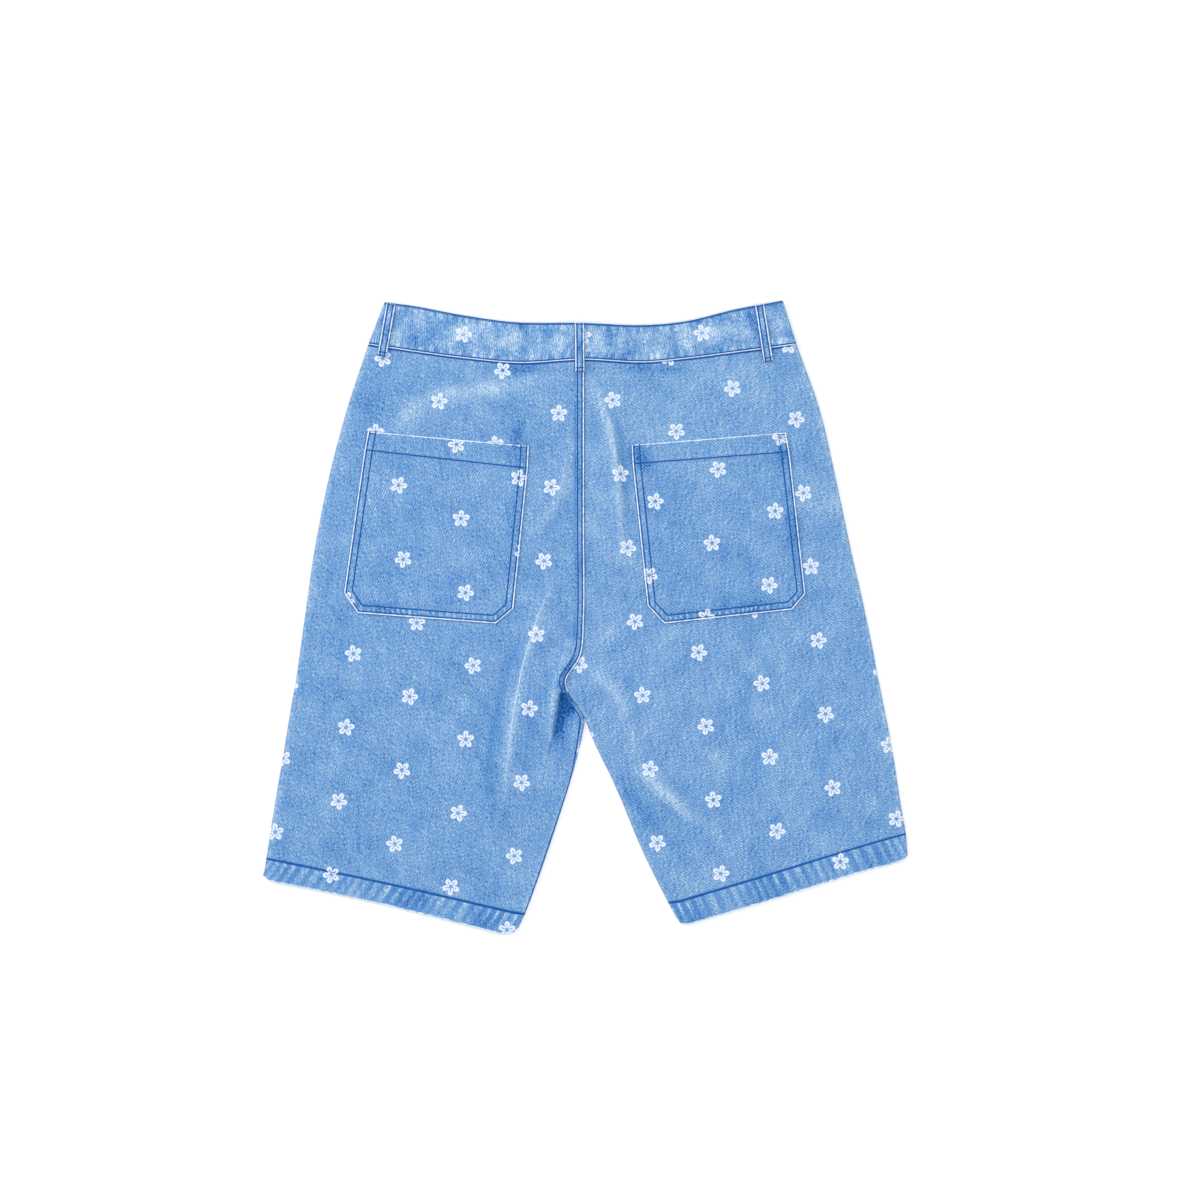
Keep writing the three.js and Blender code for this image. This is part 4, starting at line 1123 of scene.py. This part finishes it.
# Waistband
# One long strip of the same twill, doubled and sewn along both edges. It runs from the closure at
# the front round both sides, its right end lapped over its left one.
BAND_TWILL = 2.0
BAND_DEPTH = 42
BAND_RADIUS = 2.5
UNDERLAP = 30
LAP_RAMP = (12, 34)
FOLD_LEAN = 0.07
BAND_ROW = 2.1
FOLD_PLACE = 0.24
UNDER_LAP_COLUMNS, BACK_BAND_COLUMNS, OVER_LAP_COLUMNS = 78, 190, 90
OUTSIDE_HEIGHT = 5.0
BandRow = namedtuple("BandRow", "top seam_x")
BACK_BAND = [
    BandRow((-200.5, 316), -217), BandRow((-170, 312), -180), BandRow((-125, 303.5), -131),
    BandRow((-70, 296), -73), BandRow((-5, 295), -5), BandRow((55, 293), 56),
    BandRow((100, 297), 103), BandRow((150, 309), 157), BandRow((197, 317.5), 211),
]
FRONT_BAND = [
    BandRow((-200.5, 316), -217), BandRow((-145, 289), -152), BandRow((-88, 275), -91),
    BandRow((0, 268), 0), BandRow((88, 275), 91), BandRow((143, 290), 150),
    BandRow((197, 317.5), 211),
]


def band_section(table, seam, place):
    top = through([row.top for row in table], place)
    foot_x = through([(row.seam_x, 0) for row in table], place)[0]
    return np.array([foot_x, float(curve_y(seam, foot_x))]), top


def band_stations():
    """Cross-sections from the closure round the waist: foot, top, outer and inner shift and z."""
    made = []

    def place_at(x):
        low, high = 0.0, len(FRONT_BAND) - 1
        for _ in range(30):
            middle = (low + high) / 2
            if band_section(FRONT_BAND, FRONT_WAIST_SEAM, middle)[0][0] < x:
                low = middle
            else:
                high = middle
        return low

    def front(place, lapped):
        foot, top = band_section(FRONT_BAND, FRONT_WAIST_SEAM, place)
        low = BAND_FLOOR + closure_lift(foot[0])
        low = low + lapped * (BAND_TWILL + 0.3) * (1 - ease(foot[0], *LAP_RAMP))
        made.append((*foot, *top, 0, 0, 0, 0, low, low + BAND_TWILL, -1.0))

    def fold(table_row, inwards):
        foot_y = curve_y(BACK_WAIST_SEAM, table_row.seam_x)
        way = np.array([inwards, -FOLD_LEAN])
        within = BAND_RADIUS - BAND_TWILL
        middle = BAND_FLOOR + BAND_RADIUS
        turns = np.linspace(0, math.pi, 11)
        for turned in turns if inwards < 0 else math.pi - turns:
            outer = way * BAND_RADIUS * (1 - math.sin(turned))
            inner = way * (BAND_RADIUS - within * math.sin(turned))
            rise = math.cos(turned)
            heights = middle + BAND_RADIUS * rise, middle + within * rise, rise
            made.append((table_row.seam_x, foot_y, *table_row.top, *outer, *inner, *heights))

    front_last, back_last = len(FRONT_BAND) - 1, len(BACK_BAND) - 1
    for place in np.linspace(place_at(CLOSURE_X), FOLD_PLACE, UNDER_LAP_COLUMNS):
        front(place, 0)
    fold(BACK_BAND[0], 1)
    for place in np.linspace(0.3, back_last - 0.3, BACK_BAND_COLUMNS):
        foot, top = band_section(BACK_BAND, BACK_WAIST_SEAM, place)
        high = band_height(foot[0])
        made.append((*foot, *top, 0, 0, 0, 0, high, high - BAND_TWILL, 1.0))
    fold(BACK_BAND[-1], -1)
    lap_end = place_at(CLOSURE_X - UNDERLAP)
    for place in np.linspace(front_last - FOLD_PLACE, lap_end, OVER_LAP_COLUMNS):
        front(place, 1)
    return np.array(made, float)


def band_detail(arc, over_foot, under_top):
    """Small height changes of the band's face: rims, grooves under the stitches and puckers."""
    detail = -0.9 * (1 - rounded(over_foot)) - 0.9 * (1 - rounded(under_top))
    for distance in (over_foot, under_top):
        detail -= 0.28 * bell((distance - BAND_ROW) / 0.8)
        detail += 0.2 * roping(arc * 1.1, 0.1 * distance) * bell((distance - 5) / 5)
    wander = np.sin(arc / 9 + 2 * np.sin(arc / 31)) * np.sin(over_foot / 13 + arc / 60)
    return detail + 0.2 * wander * ease(over_foot, 3, 12) * ease(under_top, 3, 12)


def band_cloth():
    stations = band_stations()
    feet, tops, outer, inner = (stations[:, k : k + 2] for k in (0, 2, 4, 6))
    z_outer, z_inner, way = stations[:, 8:].T
    arc = reach_along(np.column_stack([(feet + tops) / 2 + outer, z_outer]))
    whole = np.clip(np.minimum(arc, arc[-1] - arc) / 1.2, 0, 1) ** 0.5
    middle_z = (z_outer + z_inner) / 2
    z_outer, z_inner = (middle_z + (z - middle_z) * whole for z in (z_outer, z_inner))
    depth = np.linalg.norm(tops - feet, axis=1)
    up = near_and_far(depth.mean(), 1.9, ends=[0, 0.3, 0.7, 1.2, 1.7, 2.3, 3.2]) / depth.mean()
    share, back = up[:, None], np.linspace(1, 0, 9)[:, None]
    over_foot, under_top = share * depth, (1 - share) * depth
    detail = band_detail(arc, over_foot, under_top) * whole

    def laid(shift, share, z):
        plan = (feet + shift) + (tops - feet) * share[:, :, None]
        return np.dstack([plan, np.broadcast_to(z, plan.shape[:2])])

    face = laid(outer, share, z_outer + way * detail)
    near_rows = bell((over_foot - 5) / 5) + bell((under_top - 5) / 6)
    marks = {
        "edge": over_foot,
        "row": under_top - 1.1,
        "fold": under_top + 0.9,
        "rope": 1.2 * roping(arc * 1.1, 0.1 * over_foot) * near_rows,
        "relief": np.clip((detail + 0.05) / 0.35, -1, 1) * ease(over_foot, 0.8, 2),
        "shade": wash_and_shade_marks(face[..., 0], face[..., 1]) * (way > 0.5),
    }

    def round_strip(front, behind, last):
        behind = np.broadcast_to(behind, (len(back), *front.shape[1:]))
        return np.concatenate([front, behind, last[None]])

    marks = {k: round_strip(value, PLAIN_MARKS[k], value[0]) for k, value in marks.items()}
    heights = np.concatenate([over_foot, depth * (2 - back) + 2, depth[None] * 2 + 4])
    flat = np.dstack([np.broadcast_to(arc, heights.shape), heights])
    points = round_strip(face, laid(inner, back, z_inner), face[0])
    return marked(points, flat, **marks), up


band, band_rows = band_cloth()
waistband = cloth_mesh("waistband_twill", band, closed=True)
waistband.data.materials.append(twill_material(
    "waistband_wash", 0.0, (0.019, 0.05), wash=0.555, marbling=1.4, wale=0.2, rows=(BAND_ROW,)
))
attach(waistband, "root")
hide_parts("waistband")
outside_rows, inside_rows = [], []
for share in (BAND_ROW / BAND_DEPTH, 1 - BAND_ROW / BAND_DEPTH):
    path = band.points[np.argmin(abs(band_rows - share))]
    first, last = np.flatnonzero(path[:, 2] > OUTSIDE_HEIGHT)[[0, -1]]
    outside_rows.append(path[first : last + 1])
    inside_rows += [path[3:UNDER_LAP_COLUMNS], path[-OVER_LAP_COLUMNS:-3]]
band_stitches = sew("waistband_stitches", outside_rows)
under_stitches = sew("waistband_front_stitches", inside_rows, up=-1)


# Belt loops
# Narrow strips folded in three with two rows of stitches, tacked down over the waistband at both
# ends. Three are on the back; two are on the front and lie flat under the band.
LOOP_WIDTH = 10
LOOP_TWILL = 1.2
LOOP_STAND_OFF = 1.1
STRIP_TWILL = 0.7
LOOP_ROW = 2.5
LAID_ON = 0.5
BeltLoop = namedtuple("BeltLoop", "node top low step")
BACK_LOOPS = [
    BeltLoop("loop_back_left", (-193.8, 314), (-203, 261.5), 0.8),
    BeltLoop("loop_back_centre", (-6, 294.5), (-5.5, 245.5), 0.0),
    BeltLoop("loop_back_right", (173.5, 313), (182.5, 256), 0.8),
]
FRONT_LOOPS = [
    BeltLoop("loop_front_left", (-112, 280), (-118, 228), 0.0),
    BeltLoop("loop_front_right", (112, 280), (118, 228), 0.0),
]
LOOP_TACKS = (2, 6, -4)
LOOP_ACROSS = [-5, -4.8, -4.4, -3.9, -3.2, -2.5, -1.8, -0.8, 0.8, 1.8, 2.5, 3.2, 3.9, 4.4, 4.8, 5]


def loop_surface(loop, up, x, y, share):
    """Height of what the loop lies on or, for a front loop, lies under."""
    if up < 0:
        return np.full(np.shape(x), BAND_FLOOR - 0.05)
    off_band = ease(curve_y(BACK_WAIST_SEAM, x) - y, -1, 5)
    stand_off = LOOP_STAND_OFF * np.sin(math.pi * np.clip(share, 0, 1)) ** 0.5
    return band_height(x) - loop.step * off_band + LAID_ON + stand_off


def loop_cloth(loop, up):
    top, low = np.array(loop.top, float), np.array(loop.low, float)
    length = np.linalg.norm(top - low)
    along = (top - low) / length
    distances = near_and_far(length, 1.2, ends=[0, 0.3, 0.7, 1.2, 2, 3])
    distance, across = np.meshgrid(distances, LOOP_ACROSS, indexing="ij")
    x = low[0] + along[0] * distance + along[1] * across
    y = low[1] + along[1] * distance - along[0] * across
    side = LOOP_WIDTH / 2 - abs(across)
    end = np.minimum(distance, length - distance)
    detail = 0.3 * bell(side - 1.0) - 0.25 * bell((side - LOOP_ROW) / 0.6)
    detail += 0.1 * np.sin(distance / 2.1) * bell((side - 1.2) / 1.2)
    full = LOOP_TWILL - (0.2 if up > 0 else 0.5) + detail
    full = 0.3 + full * rounded(side) * rounded(end + 0.25)
    z = loop_surface(loop, up, x, y, distance / length) + up * full
    return marked(
        np.stack([x, y, z], 2), np.stack([x, y], 2), edge=side, fold=end + 0.6,
        shade=0.5 * np.sin(distance / 5) * bell(across / 3), relief=np.clip(detail / 0.25, -1, 1),
        rope=0.6 * roping(distance, 0.0) * bell(side / 1.8),
    ), length


for loops, up in ((BACK_LOOPS, 1), (FRONT_LOOPS, -1)):
    for number, loop in enumerate(loops):
        cloth, length = loop_cloth(loop, up)
        strip = thicken(cloth_mesh(loop.node + "_twill", cloth, facing=up), STRIP_TWILL)
        strip.data.materials.append(twill_material(
            loop.node + "_wash", 0.3 * number, (0.03, 0.03), wash=0.55, marbling=0.6,
            rows=(LOOP_ROW,),
        ))
        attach(strip, "root")
        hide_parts(loop.node)
        points = cloth.points
        sewn = [points[3:-3, LOOP_ACROSS.index(across)] for across in (-LOOP_ROW, LOOP_ROW)]
        tacks = [zigzag(points[row, 3], points[row, -4], 1.4) for row in LOOP_TACKS]
        thread = sew(loop.node + "_stitches", sewn, tacks, up=up)
        round(length / 1000 + 0.001, 4)
        round(length * 10.2e-6, 6)


# Waist button
# A pressed metal cap with a rolled rim and a shallow dish, at the band's end.
BUTTON_FLOOR = 0.2
BUTTON_PROFILE = [
    (0, 0.25), (4.6, 0.25), (5.4, 0.1), (6.0, 0), (7.3, 0), (8.1, 0.25), (8.5, 0.8),
    (8.5, 1.5), (8.1, 2.1), (7.2, 2.5), (0, 2.6),
]


def button_metal():
    material, tree, shader = new_material("dull_metal", 0.5)
    shader["Metallic"].default_value = 1.0
    worn = noise(wire(tree, "ShaderNodeTexCoord", (), "Object"), 400.0)
    mix_colour(worn, srgb(150, 152, 156), srgb(192, 194, 198)).feed(shader["Base Color"])
    between(worn, -0.6, 1.6).feed(shader["Roughness"])
    return material


bm = bmesh.new()
middle = Vector((*BUTTON_PLACE, BUTTON_FLOOR)) * MM
ring = [bm.verts.new(middle + Vector((r, 0, z)) * MM) for r, z in BUTTON_PROFILE]
edges = [bm.edges.new(pair) for pair in zip(ring, ring[1:])]
bmesh.ops.spin(
    bm, geom=ring + edges, cent=middle, axis=(0, 0, 1), angle=2 * math.pi, steps=48,
    use_merge=True, use_normal_flip=False, use_duplicate=False,
)
bmesh.ops.remove_doubles(bm, verts=bm.verts, dist=0.001 * MM)
bmesh.ops.recalc_face_normals(bm, faces=bm.faces)
button = finished(bm, "waist_button_cap", button_metal())
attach(button, "root")
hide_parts("waist_button")


# Surface, light and camera
# A wide pale board under the shorts, a soft light from the upper left, a wide fill and the
# camera straight above on a long lens.
bm = bmesh.new()
bmesh.ops.create_grid(bm, x_segments=1, y_segments=1, size=4)
pale_board, tree, shader = new_material("pale_board", 0.9)
shader["Base Color"].default_value = (0.93, 0.93, 0.935, 1)
finished(bm, "pale_board", pale_board)


def soft_light(name, place, size, power):
    light = bpy.data.lights.new(name, "AREA")
    light.shape = "DISK"
    light.size = size
    light.energy = power
    lamp = bpy.data.objects.new(name, light)
    lamp.location = place
    lamp.rotation_euler = (-Vector(place)).to_track_quat("-Z", "Y").to_euler()
    bpy.context.collection.objects.link(lamp)


soft_light("side_light", (-2.2, 1.7, 1.9), 1.4, 46)
soft_light("fill_light", (0.5, -0.3, 3.6), 3.0, 85)
world = bpy.data.worlds.new("soft_room")
world.use_nodes = True
world.node_tree.nodes["Background"].inputs["Color"].default_value = (0.97, 0.98, 1.0, 1)
world.node_tree.nodes["Background"].inputs["Strength"].default_value = 0.55
bpy.context.scene.world = world
bpy.context.scene.view_settings.view_transform = "Standard"

camera_data = bpy.data.cameras.new("camera")
camera_data.lens = 85
camera_data.sensor_width = 36
camera = bpy.data.objects.new("camera", camera_data)
VIEW_WIDTH = 1.2
camera.location = (0.0145, 0.0185, VIEW_WIDTH * camera_data.lens / camera_data.sensor_width)
bpy.context.collection.objects.link(camera)
bpy.context.scene.camera = camera
